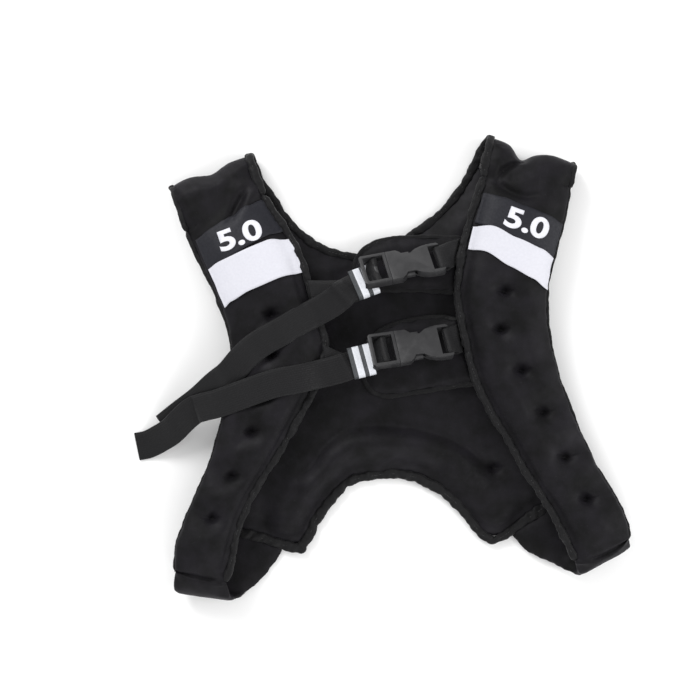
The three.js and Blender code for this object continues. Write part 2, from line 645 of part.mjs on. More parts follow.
function shoulderStations(trim) {
  return range(SHOULDER_ROWS, trim, 1);
}

function addShoulder(side) {
  const strip = shoulderStrips[side];
  const stations = shoulderStations(CLEARANCE / strip.length);
  const geometry = evenStrip(strip, stations, SHOULDER_COLUMNS, INSET, SHOULDER_THICKNESS);
  return addPiece(`shoulder_${side}`, geometry, "neoprene");
}

function addBand(side) {
  const left = side === "left";
  const [outer, inner] = [legs[side].outer[0].point, legs[side].arch[0].point];
  const away = new THREE.Vector3(outer.y - inner.y, inner.x - outer.x, 0).normalize();
  away.multiplyScalar(left ? -CLEARANCE : CLEARANCE);
  const seat = (share) => outer.clone().lerp(inner, share).add(away);
  const [seatIn, seatOut] = [seat(BAND_SEAT.inner), seat(BAND_SEAT.outer)];
  const first = {
    inX: seatIn.x / VEST_WIDTH,
    inY: seatIn.y / VEST_LENGTH,
    outX: seatOut.x / VEST_WIDTH,
    outY: seatOut.y / VEST_LENGTH,
    rise: 0,
  };
  const strip = new Strip([first, ...(left ? BAND_LEFT : BAND_RIGHT)], left ? 1 : -1);
  const stations = range(BAND_ROWS, 0, 1 - (2 * CLEARANCE) / strip.length);
  const geometry = evenStrip(strip, stations, BAND_COLUMNS, 0, BAND_THICKNESS);
  return addPiece(`side_band_${side}`, geometry, "neoprene");
}

// Tape round the back and over the shoulders.
function tapeFrames(stations) {
  return stations.map((station) => ({
    point: insetSpot(station, BINDING_WIDTH / 2), out: station.out, normal: DOWN,
  }));
}

function addTape(name, frames) {
  const geometry = tube(frames, TAPE_SECTION, BINDING_WIDTH, BINDING_THICKNESS);
  return addPiece(name, geometry, "binding");
}

// Moves an end frame along its tape, away from the tape that it meets at a corner.
function pullBack(frames, gap) {
  const heading = frames[1].point.clone().sub(frames[0].point).normalize();
  frames[0] = { ...frames[0], point: frames[0].point.clone().addScaledVector(heading, gap) };
  return frames;
}

function addBackTapes() {
  const shoulders = {};
  for (const side of ["left", "right"]) {
    shoulders[side] = (edge) => shoulderStrips[side].tapeFrames(edge, shoulderStations(0));
    const back = pullBack(tapeFrames(legs[side].outer.slice(0, -1)), CLEARANCE);
    addTape(`binding_back_${side}`, [...back, ...shoulders[side]("outer")]);
  }
  addTape("binding_neckline", [
    ...shoulders.left("inner").reverse(),
    ...tapeFrames(neckLine.slice(1, -1)),
    ...shoulders.right("inner"),
  ]);
  const ends = tongueEnds.map(([outer]) => outer);
  addTape("binding_waist", tapeFrames([ends[0], ...archLine, ends[1]]));
}

// Labels and patches lie on the front panels between the tapes.
const CLOTH_ROWS = 3;
const CLOTH_COLUMNS = 10;

function addCloth({ name, panel, inner, outer }) {
  const at = (pair, t) => pair[0] + (pair[1] - pair[0]) * t;
  const grid = range(CLOTH_ROWS).map((t) => range(CLOTH_COLUMNS).map((u) => {
    const across = 0.5 - 0.5 * Math.cos(Math.PI * u);
    const along = at(inner, t) + (at(outer, t) - at(inner, t)) * across;
    const { upper, normal } = frontSpot(panel, along, across);
    return {
      upper: upper.clone().addScaledVector(normal, LABEL_LIFT + LABEL_THICKNESS / 2),
      under: upper.clone().addScaledVector(normal, LABEL_LIFT - LABEL_THICKNESS / 2),
    };
  }));
  return addPiece(name, slab(grid), name.startsWith("label") ? "label" : "patch");
}

// Flaps: the padding and the tape round its free edge. The root sits under the right front
// panel's inner tape.
const FLAP_COLUMNS = 4;

function innerEdgeAt(y) {
  const curve = frontStrips.right.inner;
  const away = (t) => Math.abs(curve.getPoint(t).y - y * VEST_LENGTH);
  const nearest = range(200).reduce((best, t) => (away(t) < away(best) ? t : best));
  return { point: curve.getPoint(nearest), heading: curve.getTangent(nearest) };
}

function addFlap(name, rows) {
  const edgePoint = (x, y, drop) => {
    const root = innerEdgeAt(rows[0][y]).point.z - BINDING_THICKNESS - CLEARANCE;
    return (row) => new THREE.Vector3(
      row[x] * VEST_WIDTH, row[y] * VEST_LENGTH, root + (FLAP_TIP_HEIGHT - root) * row[drop]);
  };
  const outline = [
    ...rows.map(edgePoint("topX", "topY", "drop")),
    ...rows.map(edgePoint("lowX", "lowY", "drop")).reverse(),
  ];
  const stations = outline.map((point, k) => {
    const before = outline[Math.max(k - 1, 0)];
    const after = outline[Math.min(k + 1, outline.length - 1)];
    const heading = after.clone().sub(before);
    return { point, out: new THREE.Vector3(heading.y, -heading.x, 0).normalize() };
  });
  const inset = stations.map((station) => insetSpot(station, FLAP_BORDER_WIDTH + CLEARANCE));
  const grid = rows.map((_, k) => {
    const [top, low] = [inset[k], inset[inset.length - 1 - k]];
    return range(FLAP_COLUMNS).map((u) => {
      const half = new THREE.Vector3(0, 0, (FLAP_THICKNESS / 2) * (0.8 + 0.2 * crown(u)));
      const middle = top.clone().lerp(low, u);
      return { upper: middle.clone().add(half), under: middle.clone().sub(half) };
    });
  });
  const frames = stations.map((station) => ({
    point: insetSpot(station, FLAP_BORDER_WIDTH / 2), out: station.out, normal: UP,
  }));
  const border = tube(frames, TAPE_SECTION, FLAP_BORDER_WIDTH, BINDING_THICKNESS);
  return [
    addPiece(`flap_${name}`, slab(grid), "neoprene"),
    addPiece(`flap_border_${name}`, border, "binding"),
  ];
}

// Joins and cuts of closed bodies.
function solidOf(geometry) {
  const bare = new THREE.BufferGeometry();
  bare.setAttribute("position", geometry.getAttribute("position").clone());
  if (geometry.index) bare.setIndex(geometry.index.clone());
  const merged = mergeVertices(bare, 1e-4);
  return new wasm.Manifold(new wasm.Mesh({
    numProp: 3,
    vertProperties: new Float32Array(merged.getAttribute("position").array),
    triVerts: new Uint32Array(merged.index.array),
  }));
}

function geometryOf(solid) {
  const mesh = solid.getMesh();
  const geometry = new THREE.BufferGeometry();
  geometry.setAttribute("position", new THREE.BufferAttribute(mesh.vertProperties, 3));
  geometry.setIndex(new THREE.BufferAttribute(mesh.triVerts, 1));
  geometry.computeVertexNormals();
  return geometry;
}

function block(fromX, toX, width, fromZ, toZ, y = 0) {
  const box = new THREE.BoxGeometry(toX - fromX, width, toZ - fromZ);
  box.translate((fromX + toX) / 2, y, (fromZ + toZ) / 2);
  return solidOf(box);
}

// A round-sided bar across the webbing.
function bar(x) {
  const round = new THREE.CylinderGeometry(0.5, 0.5, SLOT_WIDTH + 1, 10);
  round.scale(BAR_WIDTH, 1, BAR_THICKNESS);
  return solidOf(round.translate(x, 0, 0));
}

// A plate from half widths along X, the same on both sides of the middle.
function plate(profile, thickness) {
  const shape = new THREE.Shape();
  profile.forEach(([x, y], k) => (k === 0 ? shape.moveTo(x, y) : shape.lineTo(x, y)));
  [...profile].reverse().forEach(([x, y]) => shape.lineTo(x, -y));
  shape.closePath();
  const body = new THREE.ExtrudeGeometry(shape, { depth: thickness, bevelEnabled: false });
  body.translate(0, 0, -thickness / 2);
  return solidOf(body);
}

// The buckle's own frame: X runs from the ladder to the socket and is 0 where they meet, Y is
// across the webbing and Z is out of the buckle's face.
const HALF = BUCKLE_WIDTH / 2;
const FACE = BUCKLE_THICKNESS / 2;
const BUCKLE_MIDDLE = (SOCKET_LENGTH - LADDER_LENGTH) / 2;
const CROSSBAR = -LADDER_LENGTH * 0.46;
const LADDER_BASE = -BAR_WIDTH * 0.7;

function ladderBody() {
  const frame = plate([
    [-LADDER_LENGTH, HALF - CORNER], [-LADDER_LENGTH + CORNER, HALF], [-CLEARANCE / 2, HALF],
  ], BUCKLE_THICKNESS);
  const window = block(
    -LADDER_LENGTH + END_BAR_WIDTH, LADDER_BASE, SLOT_WIDTH, -BUCKLE_THICKNESS, BUCKLE_THICKNESS);
  const underEndBar = block(
    -LADDER_LENGTH - 1, -LADDER_LENGTH + END_BAR_WIDTH + 1, SLOT_WIDTH, -BUCKLE_THICKNESS, 0);
  const prongAt = HALF - 2 * BUCKLE_WALL - PRONG_WIDTH;
  const tabWidth = HALF - BUCKLE_WALL - prongAt + PRONG_WIDTH / 2;
  let body = frame.subtract(window).subtract(underEndBar).add(bar(CROSSBAR));
  for (const side of [-1, 1]) {
    const prong = block(
      LADDER_BASE, PRONG_REACH, PRONG_WIDTH, -PRONG_THICKNESS / 2, PRONG_THICKNESS / 2,
      side * prongAt);
    const tab = block(
      PRONG_REACH - TAB_LENGTH, PRONG_REACH, tabWidth, -PRONG_THICKNESS / 2, PRONG_THICKNESS / 2,
      side * (prongAt - PRONG_WIDTH / 2 + tabWidth / 2));
    body = body.add(prong).add(tab);
  }
  return body;
}

function socketBody() {
  const end = SOCKET_LENGTH;
  const notch = HALF - NOTCH_DEPTH;
  const outline = [
    [CLEARANCE / 2, HALF], [end * 0.2, HALF], [end * 0.27, HALF - NOTCH_DEPTH * 0.45],
    [end * 0.31, notch], [end * 0.46, notch], [end * 0.56, HALF - NOTCH_DEPTH * 0.5],
    [end * 0.68, HALF - NOTCH_DEPTH * 0.15], [end * 0.8, HALF], [end - CORNER, HALF],
    [end, HALF - CORNER],
  ];
  const cavity = block(
    -1, PRONG_REACH + BUCKLE_WALL, BUCKLE_WIDTH - 2 * BUCKLE_WALL + 2 * CLEARANCE,
    -PRONG_THICKNESS / 2 - CLEARANCE, PRONG_THICKNESS / 2 + CLEARANCE);
  const slot = block(
    end - BAR_WIDTH - SLOT_LENGTH, end + 1, SLOT_WIDTH, -BUCKLE_THICKNESS, BUCKLE_THICKNESS);
  return plate(outline, BUCKLE_THICKNESS)
    .subtract(cavity).subtract(slot).add(bar(end - BAR_WIDTH / 2));
}

function lie({ x, y, height, turn, pitch, roll }) {
  const group = new THREE.Group();
  group.position.set(x * VEST_WIDTH, y * VEST_LENGTH, height);
  const [a, b, c] = [-roll, pitch, turn].map(THREE.MathUtils.degToRad);
  group.rotation.set(a, b, c, "ZYX");
  group.updateMatrixWorld();
  vest.add(group);
  return group;
}

// Webbing: a thin band through stations that each have a point and a vector across it.
const STEPS = 3;

function webbing(stations, steps = STEPS) {
  const curves = [-1, 1].map((side) => new THREE.CatmullRomCurve3(
    stations.map(({ point, across }) =>
      point.clone().addScaledVector(across, (side * WEB_WIDTH) / 2)),
    false, "centripetal"));
  const count = (stations.length - 1) * steps;
  const pairs = range(count).map((t) => curves.map((curve) => curve.getPoint(t)));
  const frames = pairs.map(([low, high], k) => {
    const before = pairs[Math.max(k - 1, 0)];
    const after = pairs[Math.min(k + 1, count)];
    const heading = after[0].clone().add(after[1]).sub(before[0]).sub(before[1]);
    const out = high.clone().sub(low).normalize();
    const normal = heading.cross(out).normalize().negate();
    return { point: low.clone().lerp(high, 0.5), out, normal };
  });
  return tube(frames, WEB_SECTION, WEB_WIDTH, WEB_THICKNESS);
}

// A station given in the frame of a buckle or a keeper.
function stationIn(group, x, z) {
  const across = new THREE.Vector3(0, 1, 0).transformDirection(group.matrixWorld);
  return { point: group.localToWorld(new THREE.Vector3(x, 0, z)), across };
}

function acrossOf(turn) {
  const angle = THREE.MathUtils.degToRad(turn);
  return new THREE.Vector3(-Math.sin(angle), Math.cos(angle), 0);
}

// The height of what lies under a strap at one station.
const downwards = new THREE.Raycaster();
const PROBES = 10; // across the strap

function heightUnder(point, across, pieces) {
  let height = 0;
  for (const share of range(PROBES, -0.5, 0.5)) {
    const from = point.clone().addScaledVector(across, share * WEB_WIDTH);
    downwards.set(from.setZ(500), DOWN);
    for (const hit of downwards.intersectObjects(pieces)) height = Math.max(height, hit.point.z);
  }
  return height;
}

// A loose tail lies on what is under it and can't fall off an edge more steeply than this. The
// ground is probed twice as often as the tail bends.
const TAIL_SLOPE = 0.45;
const TAIL_BENDS = 3; // for each point of its outline
const TAIL_SPRING = 1.5; // above what it lies on where it leaves its keeper, and half of it each bend on

function drapedTail(outline, start, pieces) {
  const plan = new THREE.CatmullRomCurve3(
    [start, ...outline.map(([x, y]) => place(x, y).setZ(0))], false, "centripetal");
  const probes = range(2 * TAIL_BENDS * outline.length).map((t) => {
    const heading = plan.getTangent(t);
    const across = new THREE.Vector3(heading.y, -heading.x, 0).normalize();
    const point = plan.getPoint(t);
    const floor = heightUnder(point, across, pieces) + WEB_LIFT + WEB_THICKNESS / 2;
    return { point, across, floor };
  });
  return probes.filter((_, k) => k > 0 && k % 2 === 0).map(({ point, across }, bend) => {
    const heights = probes.map((probe) => {
      const away = Math.hypot(probe.point.x - point.x, probe.point.y - point.y);
      return probe.floor - away * TAIL_SLOPE;
    });
    const height = Math.max(...heights) + TAIL_SPRING / 2 ** bend;
    return { point: point.clone().setZ(height), across };
  });
}

function addClosure({ name, buckle, keeper, seam, webSeam, tail }, pieces) {
  const frame = lie(buckle);
  const at = (x, z) => stationIn(frame, x - BUCKLE_MIDDLE, z);
  const ladder = geometryOf(ladderBody()).translate(-BUCKLE_MIDDLE, 0, 0);
  const socket = geometryOf(socketBody()).translate(-BUCKLE_MIDDLE, 0, 0);
  addPiece(`ladder_${name}`, ladder, "plastic", frame);
  addPiece(`socket_${name}`, socket, "plastic", frame);

  const reach = (BAR_WIDTH + WEB_THICKNESS + WEB_SLACK) / 2;
  const rise = (BAR_THICKNESS + WEB_THICKNESS + WEB_SLACK) / 2;
  const loop = new THREE.Group();
  loop.position.set(CROSSBAR - reach - keeper.back - BUCKLE_MIDDLE, 0, -keeper.drop);
  const turns = [keeper.roll, keeper.pitch, keeper.turn].map(THREE.MathUtils.degToRad);
  loop.rotation.set(...turns, "ZYX");
  frame.add(loop);
  loop.updateWorldMatrix(true, false);
  const inside = { width: SLOT_WIDTH, height: 2 * WEB_THICKNESS + 3 * WEB_SLACK };
  const ring = new THREE.Shape();
  const outerWidth = inside.width / 2 + KEEPER_THICKNESS;
  const outerHeight = inside.height / 2 + KEEPER_THICKNESS;
  const round = (path, w, h, r) => {
    path.moveTo(-h + r, -w);
    path.lineTo(h - r, -w).quadraticCurveTo(h, -w, h, -w + r);
    path.lineTo(h, w - r).quadraticCurveTo(h, w, h - r, w);
    path.lineTo(-h + r, w).quadraticCurveTo(-h, w, -h, w - r);
    path.lineTo(-h, -w + r).quadraticCurveTo(-h, -w, -h + r, -w);
    return path;
  };
  round(ring, outerWidth, outerHeight, 2 * KEEPER_THICKNESS);
  ring.holes.push(round(new THREE.Path(), inside.width / 2, inside.height / 2, KEEPER_THICKNESS));
  const band = new THREE.ExtrudeGeometry(
    ring, { depth: KEEPER_LENGTH, bevelEnabled: false, curveSegments: 2 });
  band.translate(0, 0, -KEEPER_LENGTH);
  band.rotateY(Math.PI / 2);
  addPiece(`keeper_${name}`, band, "keeper", loop);

  const seamPoint = place(seam.x, seam.y);
  const seamAcross = acrossOf(seam.turn);
  seamPoint.z = heightUnder(seamPoint, seamAcross, pieces) + WEB_LIFT + WEB_THICKNESS / 2;
  const keeperEnds = [-KEEPER_LENGTH - 1.5, -KEEPER_LENGTH / 2, 1];
  const layer = (level) => keeperEnds.map((x) => stationIn(loop, x, level));
  const aroundBar = [-40, 0, 40, 90, 140, 180].map(THREE.MathUtils.degToRad).map((angle) =>
    at(CROSSBAR + reach * Math.cos(angle), rise * Math.sin(angle)));
  const fixed = [{ point: seamPoint, across: seamAcross }, ...layer(-LAYER_STEP / 2)];
  const turned = [...aroundBar, ...layer(LAYER_STEP / 2).reverse()];
  const fixedPart = new THREE.Mesh(webbing(fixed.slice(0, 2)));
  const start = turned.at(-1).point.clone().setZ(0);
  const loose = drapedTail(tail, start, [...pieces, fixedPart]);
  const strap = addPiece(`strap_${name}`, webbing([...fixed, ...turned, ...loose], 2), "webbing");

  const end = SOCKET_LENGTH - BAR_WIDTH / 2;
  const { point: edge, heading } = innerEdgeAt(webSeam);
  const webAcross = heading.clone().setZ(0).normalize().negate();
  const inward = new THREE.Vector3(-webAcross.y, webAcross.x, 0);
  edge.addScaledVector(inward, CLEARANCE).setZ(0);
  edge.z = heightUnder(edge, webAcross, pieces) + WEB_LIFT + WEB_THICKNESS / 2 + LAYER_STEP;
  const square = edge.clone().sub(at(end, 0).point).cross(webAcross).normalize();
  const seamStation = (level) => ({
    point: edge.clone().addScaledVector(square, level), across: webAcross,
  });
  const aroundEnd = [-90, -135, 180, 135, 90].map(THREE.MathUtils.degToRad).map((angle) =>
    at(end + reach * Math.cos(angle), rise * Math.sin(angle)));
  const past = SOCKET_LENGTH + CLEARANCE;
  const web = [
    seamStation(-LAYER_STEP), at(past, -rise), ...aroundEnd, at(past, rise), seamStation(0),
  ];
  addPiece(`socket_web_${name}`, webbing(web), "webbing");
  return strap;
}

addBackPanel();
const body = [];
for (const side of ["left", "right"]) {
  addShoulder(side);
  addBand(side);
  body.push(...addFrontPanel(side));
}
addBackTapes();
CLOTHS.forEach(addCloth);
const flaps = [...addFlap("upper", FLAP_UPPER), ...addFlap("lower", FLAP_LOWER)];
const below = [...body.filter((piece) => piece.name.includes("left")), ...flaps];
for (const closure of CLOSURES) below.push(addClosure(closure, below));

export default vest;
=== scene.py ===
"""A weighted training vest lies on its back, its padded front panels folded over it.

Metres, +Z up, with the floor at 0. The camera looks straight down on the vest.
"""
import math

import bmesh
import bpy
from mathutils import Euler, Matrix, Vector, noise
from mathutils.bvhtree import BVHTree
from mathutils.kdtree import KDTree


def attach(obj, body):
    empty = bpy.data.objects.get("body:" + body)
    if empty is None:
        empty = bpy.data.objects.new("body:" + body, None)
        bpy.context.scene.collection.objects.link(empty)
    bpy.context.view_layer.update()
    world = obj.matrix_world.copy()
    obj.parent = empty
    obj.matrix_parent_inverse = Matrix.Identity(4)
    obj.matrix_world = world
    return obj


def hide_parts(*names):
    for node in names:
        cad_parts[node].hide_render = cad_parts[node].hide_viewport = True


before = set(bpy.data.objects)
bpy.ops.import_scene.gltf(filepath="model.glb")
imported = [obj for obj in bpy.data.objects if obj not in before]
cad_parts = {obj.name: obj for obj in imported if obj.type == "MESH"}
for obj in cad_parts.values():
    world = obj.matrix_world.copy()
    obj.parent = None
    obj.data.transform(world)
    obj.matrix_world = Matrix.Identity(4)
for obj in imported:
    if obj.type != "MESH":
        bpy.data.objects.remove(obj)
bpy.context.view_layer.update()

MM = 0.001
UP = Vector((0, 0, 1))
SIDES = ("left", "right")
ENDS = ("upper", "lower")
FLOOR_GAP = 0.3 * MM  # what lies lowest is kept this far above the floor
LINE_STEP = 3 * MM

# The buckles and their strap keepers as the solids have them: places and lengths in millimetres,
# angles in degrees. A keeper's place is measured from its buckle's crossbar.
BUCKLES = {
    "upper": {
        "place": (1.86, 102.323, 47), "turn": 11, "pitch": 7, "roll": 36,
        "keeper": {"back": 4, "drop": 12, "turn": 14, "pitch": -9, "roll": 12},
    },
    "lower": {
        "place": (10.23, 21.761, 46), "turn": 8, "pitch": 8, "roll": 28,
        "keeper": {"back": 8, "drop": 11, "turn": 10, "pitch": -8, "roll": 10},
    },
}
BUCKLE_MIDDLE = 14
CROSSBAR = -12.42
BAR_REACH = 3.45
KEEPER_LENGTH = 23
KEEPER_WIDTH = 32.7
KEEPER_HEIGHT = 8.2

# Tacks that pull each front panel in, in millimetres.
TACKS = {
    "left": ((-129, 54), (-130, 16), (-138, -23), (-149, -63), (-169, -107), (-188, -149)),
    "right": ((105, 78), (101, 40), (122, -1), (144, -43), (166, -88), (187, -130)),
}

# Creases pressed into the cloth: the points they run through, then depth and width. A negative
# depth is a ridge.
CREASES = {
    "front_left": (
        (((-154, 182), (-162, 166), (-172, 144)), 5.5, 4),
        (((-140, 188), (-149, 172), (-158, 150)), -3.4, 6),
        (((-214, 176), (-196, 184), (-172, 196)), -2.4, 9),
        (((-206, 150), (-200, 120), (-196, 90)), 1.8, 8),
        (((-232, -201), (-205, -208), (-178, -214)), 4.6, 2.4),
        (((-140, 204), (-152, 196), (-168, 190)), 3.2, 7),
    ),
    "front_right": (
        (((126, 214), (115, 206), (105, 199), (96, 188)), 6, 3.4),
        (((95, 190), (108, 178), (124, 172), (140, 174)), 6, 5),
        (((112, 194), (128, 190), (146, 190)), -3.2, 8),
        (((84, 200), (92, 206), (100, 210)), -2.4, 7),
        (((186, -192), (202, -187), (218, -179), (236, -168)), 4.6, 2.4),
    ),
}

# The filled pocket along the waist arch: the line where it starts, the sewn point at its right
# end, and the stretch of the back that is evened out before it is set.
POCKET = (
    (-113.5, -120.6), (-88, -99), (-76.5, -81.6), (-61, -68), (-45, -61.3), (-18, -59.8),
    (13, -62), (36.5, -68), (56, -75.8), (71.6, -85.5), (83, -95.3), (97, -100.3),
)
POCKET_TACKS = (POCKET[-1],)
POCKET_STRETCH = ((-140, -150), (128, -34))
POCKET_REACH = 45 * MM
POCKET_RIDGE = {"high": 6.0 * MM, "behind": 14 * MM, "wide": 12 * MM}
POCKET_GROOVE = {"high": 3.2 * MM, "behind": -2 * MM, "wide": 6.5 * MM}
POCKET_FADE = 7  # steps of its line from either end until it stands in full
EVEN_ROUNDS = 45

# Where an edge of the cloth is pushed in: a place, the push, and how far around it is felt.
TUCKS = {
    "front_left": (((-190, 196), (1.5, -5), 15),),
    "front_right": (((124, 217), (0, -6.5), 9), ((96, 222), (0, 1.5), 12)),
}

# How a label or patch lies: its turn, how much longer it is drawn, and how far its lower and
# its upper edge are moved up the panel, at shares of its length.
LAY = {
    "label_left": (20, 1.05, ((0, -2.5), (0.12, 1.5), (0.35, 4), (0.7, 4.5), (1, 2)),
                   ((0, 5), (0.12, 6), (0.35, 5), (0.7, 4), (1, -3))),
    "label_right": (-17, 1.08, ((0, 0), (0.22, 3.5), (0.5, -1.5), (0.8, -4.5), (1, -9)),
                    ((0, 0), (0.22, 4.5), (0.5, -0.5), (0.8, -3.5), (1, -8))),
    "weight_patch_left": (20, 1.05, ((0, -2), (0.25, 0), (0.5, 2), (0.8, 2.5), (1, 0)),
                          ((0, -2), (0.25, 0), (0.5, 2), (0.8, 2.5), (1, 0))),
    "weight_patch_right": (-15, 1.06, ((0, -3), (0.25, -5), (0.5, -8), (0.8, -10), (1, -14)),
                           ((0, -3), (0.25, -5), (0.5, -8), (0.8, -10), (1, -14))),
}


# Node groups for effects that several finishes share

def new_group(name, inputs, outputs):
    """An empty shader node group with named sockets and its input and output nodes."""
    group = bpy.data.node_groups.new(name, "ShaderNodeTree")
    for label, kind, value in inputs:
        socket = group.interface.new_socket(name=label, in_out="INPUT", socket_type=kind)
        if value is not None:
            socket.default_value = value
    for label, kind in outputs:
        group.interface.new_socket(name=label, in_out="OUTPUT", socket_type=kind)
    return group, group.nodes.new("NodeGroupInput"), group.nodes.new("NodeGroupOutput")


def add_node(tree, kind, values=None, **links):
    """A node with its settings; links feed its sockets by name, with spaces as underscores."""
    node = tree.nodes.new(kind)
    for key, value in (values or {}).items():
        if isinstance(key, str) and hasattr(node, key):
            setattr(node, key, value)
        else:
            node.inputs[key].default_value = value
    for key, source in links.items():
        tree.links.new(source, node.inputs[key.replace("_", " ")])
    return node


def add_math(tree, operation, first, second=None, clamp=False):
    """One Math node; each operand is a socket or a number."""
    node = tree.nodes.new("ShaderNodeMath")
    node.operation = operation
    node.use_clamp = clamp
    for socket, operand in zip(node.inputs, (first, second)):
        if isinstance(operand, (int, float)):
            socket.default_value = operand
        elif operand is not None:
            tree.links.new(operand, socket)
    return node.outputs[0]


def knit_group():
    """Fine jersey knit over foam: small loops in rows, with soft mottling over them."""
    group, into, out = new_group(
        "jersey knit",
        [("Vector", "NodeSocketVector", None), ("Loops", "NodeSocketFloat", 1300.0)],
        [("Height", "NodeSocketFloat"), ("Mottle", "NodeSocketFloat"), ("Lint", "NodeSocketFloat")],
    )
    vector, loops = into.outputs[0], into.outputs[1]
    cells = add_node(group, "ShaderNodeTexVoronoi", {"feature": "SMOOTH_F1"}, Vector=vector)
    group.links.new(loops, cells.inputs["Scale"])
    fuzz = add_node(
        group, "ShaderNodeTexNoise", {"Scale": 2600.0, "Detail": 2.0}, Vector=vector)
    height = add_math(group, "MULTIPLY", cells.outputs["Distance"], -0.8)
    fuzz_height = add_math(group, "MULTIPLY", fuzz.outputs["Fac"], 0.5)
    group.links.new(add_math(group, "ADD", height, fuzz_height), out.inputs["Height"])
    mottle = add_node(
        group, "ShaderNodeTexNoise", {"Scale": 38.0, "Detail": 4.0, "Roughness": 0.6},
        Vector=vector)
    group.links.new(mottle.outputs["Fac"], out.inputs["Mottle"])
    specks = add_node(
        group, "ShaderNodeTexNoise", {"Scale": 900.0, "Detail": 1.0}, Vector=vector)
    sparse = add_node(
        group, "ShaderNodeMapRange", {1: 0.7, 2: 0.76}, Value=specks.outputs["Fac"])
    group.links.new(sparse.outputs["Result"], out.inputs["Lint"])
    return group


def rib_group():
    """Woven ribs along and across a tape, from its UV map in metres."""
    group, into, out = new_group(
        "woven ribs",
        [
            ("Vector", "NodeSocketVector", None),
            ("Across", "NodeSocketFloat", 1.2), ("Along", "NodeSocketFloat", 1.0),
        ],
        [("Height", "NodeSocketFloat"), ("Fray", "NodeSocketFloat")],
    )
    split = add_node(group, "ShaderNodeSeparateXYZ", Vector=into.outputs["Vector"])
    across = add_math(group, "MULTIPLY", split.outputs["X"], 2 * math.pi / MM)
    across = add_math(group, "DIVIDE", across, into.outputs["Across"])
    along = add_math(group, "MULTIPLY", split.outputs["Y"], 2 * math.pi / MM)
    along = add_math(group, "DIVIDE", along, into.outputs["Along"])
    rows = add_math(group, "SINE", across)
    shifted = add_math(group, "ADD", along, add_math(group, "MULTIPLY", rows, 1.4))
    beats = add_math(group, "SINE", shifted)
    height = add_math(group, "ADD", add_math(group, "MULTIPLY", rows, 0.35),
                      add_math(group, "MULTIPLY", beats, 0.5))
    group.links.new(height, out.inputs["Height"])
    fray = add_node(
        group, "ShaderNodeTexNoise", {"Scale": 420.0, "Detail": 3.0},
        Vector=into.outputs["Vector"])
    group.links.new(fray.outputs["Fac"], out.inputs["Fray"])
    return group


KNIT = knit_group()
RIBS = rib_group()


# Finishes

def new_material(name, color, roughness, **constants):
    """A material with a Principled shader whose constants are set on its own sockets."""
    material = bpy.data.materials.new(name)
    material.use_nodes = True
    material.diffuse_color = (*color, 1)
    tree = material.node_tree
    shader = tree.nodes["Principled BSDF"]
    shader.inputs["Base Color"].default_value = (*color, 1)
    shader.inputs["Roughness"].default_value = roughness
    for key, value in constants.items():
        shader.inputs[key.replace("_", " ")].default_value = value
    return material, tree, shader


def place_group(tree, group, vector, **values):
    node = tree.nodes.new("ShaderNodeGroup")
    node.node_tree = group
    for key, value in values.items():
        node.inputs[key].default_value = value
    tree.links.new(vector, node.inputs["Vector"])
    return node


def blend_colors(tree, factor, first, second):
    """Mixes two colours, given as sockets or as red, green and blue."""
    node = tree.nodes.new("ShaderNodeMix")
    node.data_type = "RGBA"
    tree.links.new(factor, node.inputs["Factor"])
    for socket, source in ((node.inputs["A"], first), (node.inputs["B"], second)):
        if isinstance(source, tuple):
            socket.default_value = (*source, 1)
        else:
            tree.links.new(source, socket)
    return node.outputs["Result"]


def span(tree, value, low, high, to_low, to_high):
    node = add_node(tree, "ShaderNodeMapRange", {1: low, 2: high, 3: to_low, 4: to_high},
                    Value=value)
    return node.outputs["Result"]


def bump(tree, shader, height, strength, distance):
    node = add_node(
        tree, "ShaderNodeBump", {"Strength": strength, "Distance": distance}, Height=height)
    tree.links.new(node.outputs["Normal"], shader.inputs["Normal"])
    return node


def object_vector(tree):
    return tree.nodes.new("ShaderNodeTexCoord").outputs["Object"]


def uv_vector(tree):
    return tree.nodes.new("ShaderNodeTexCoord").outputs["UV"]


def neoprene_material():
    material, tree, shader = new_material(
        "black neoprene", (0.0045, 0.0043, 0.0048), 0.6,
        Sheen_Weight=0.045, Sheen_Roughness=0.4, Sheen_Tint=(0.75, 0.7, 0.86, 1),
        Specular_IOR_Level=0.13)
    knit = place_group(tree, KNIT, object_vector(tree))
    # The mottle runs at random from a dark tone to a lighter purple-grey one. That lighter tone is
    # painted sheen, standing in for the knit's soft purplish highlights.
    dark, mottle_painted_sheen, lint = (0.0027, 0.0026, 0.0029), (0.0092, 0.0083, 0.0109), (0.03, 0.03, 0.032)
    mottle = span(tree, knit.outputs["Mottle"], 0.35, 0.7, 0.0, 1.0)
    color = blend_colors(tree, mottle, dark, mottle_painted_sheen)
    specks = add_math(tree, "MULTIPLY", knit.outputs["Lint"], 0.35)
    tree.links.new(blend_colors(tree, specks, color, lint), shader.inputs["Base Color"])
    tree.links.new(span(tree, knit.outputs["Mottle"], 0.3, 0.7, 0.66, 0.52),
                   shader.inputs["Roughness"])
    bump(tree, shader, knit.outputs["Height"], 0.55, 0.12 * MM)
    return material


def tape_material(name, dark, light, across, along, depth, roughness, **constants):
    """A woven tape, ribbed across and along its own length."""
    material, tree, shader = new_material(name, dark, roughness, **constants)
    ribs = place_group(tree, RIBS, uv_vector(tree), Across=across, Along=along)
    tone = span(tree, ribs.outputs["Height"], -0.6, 0.7, 0.0, 0.8)
    tone = add_math(tree, "MULTIPLY", tone, ribs.outputs["Fray"])
    tree.links.new(blend_colors(tree, tone, dark, light), shader.inputs["Base Color"])
    tree.links.new(
        span(tree, ribs.outputs["Fray"], 0.3, 0.7, roughness + 0.08, roughness - 0.08),
        shader.inputs["Roughness"])
    bump(tree, shader, ribs.outputs["Height"], 0.6, depth)
    return material


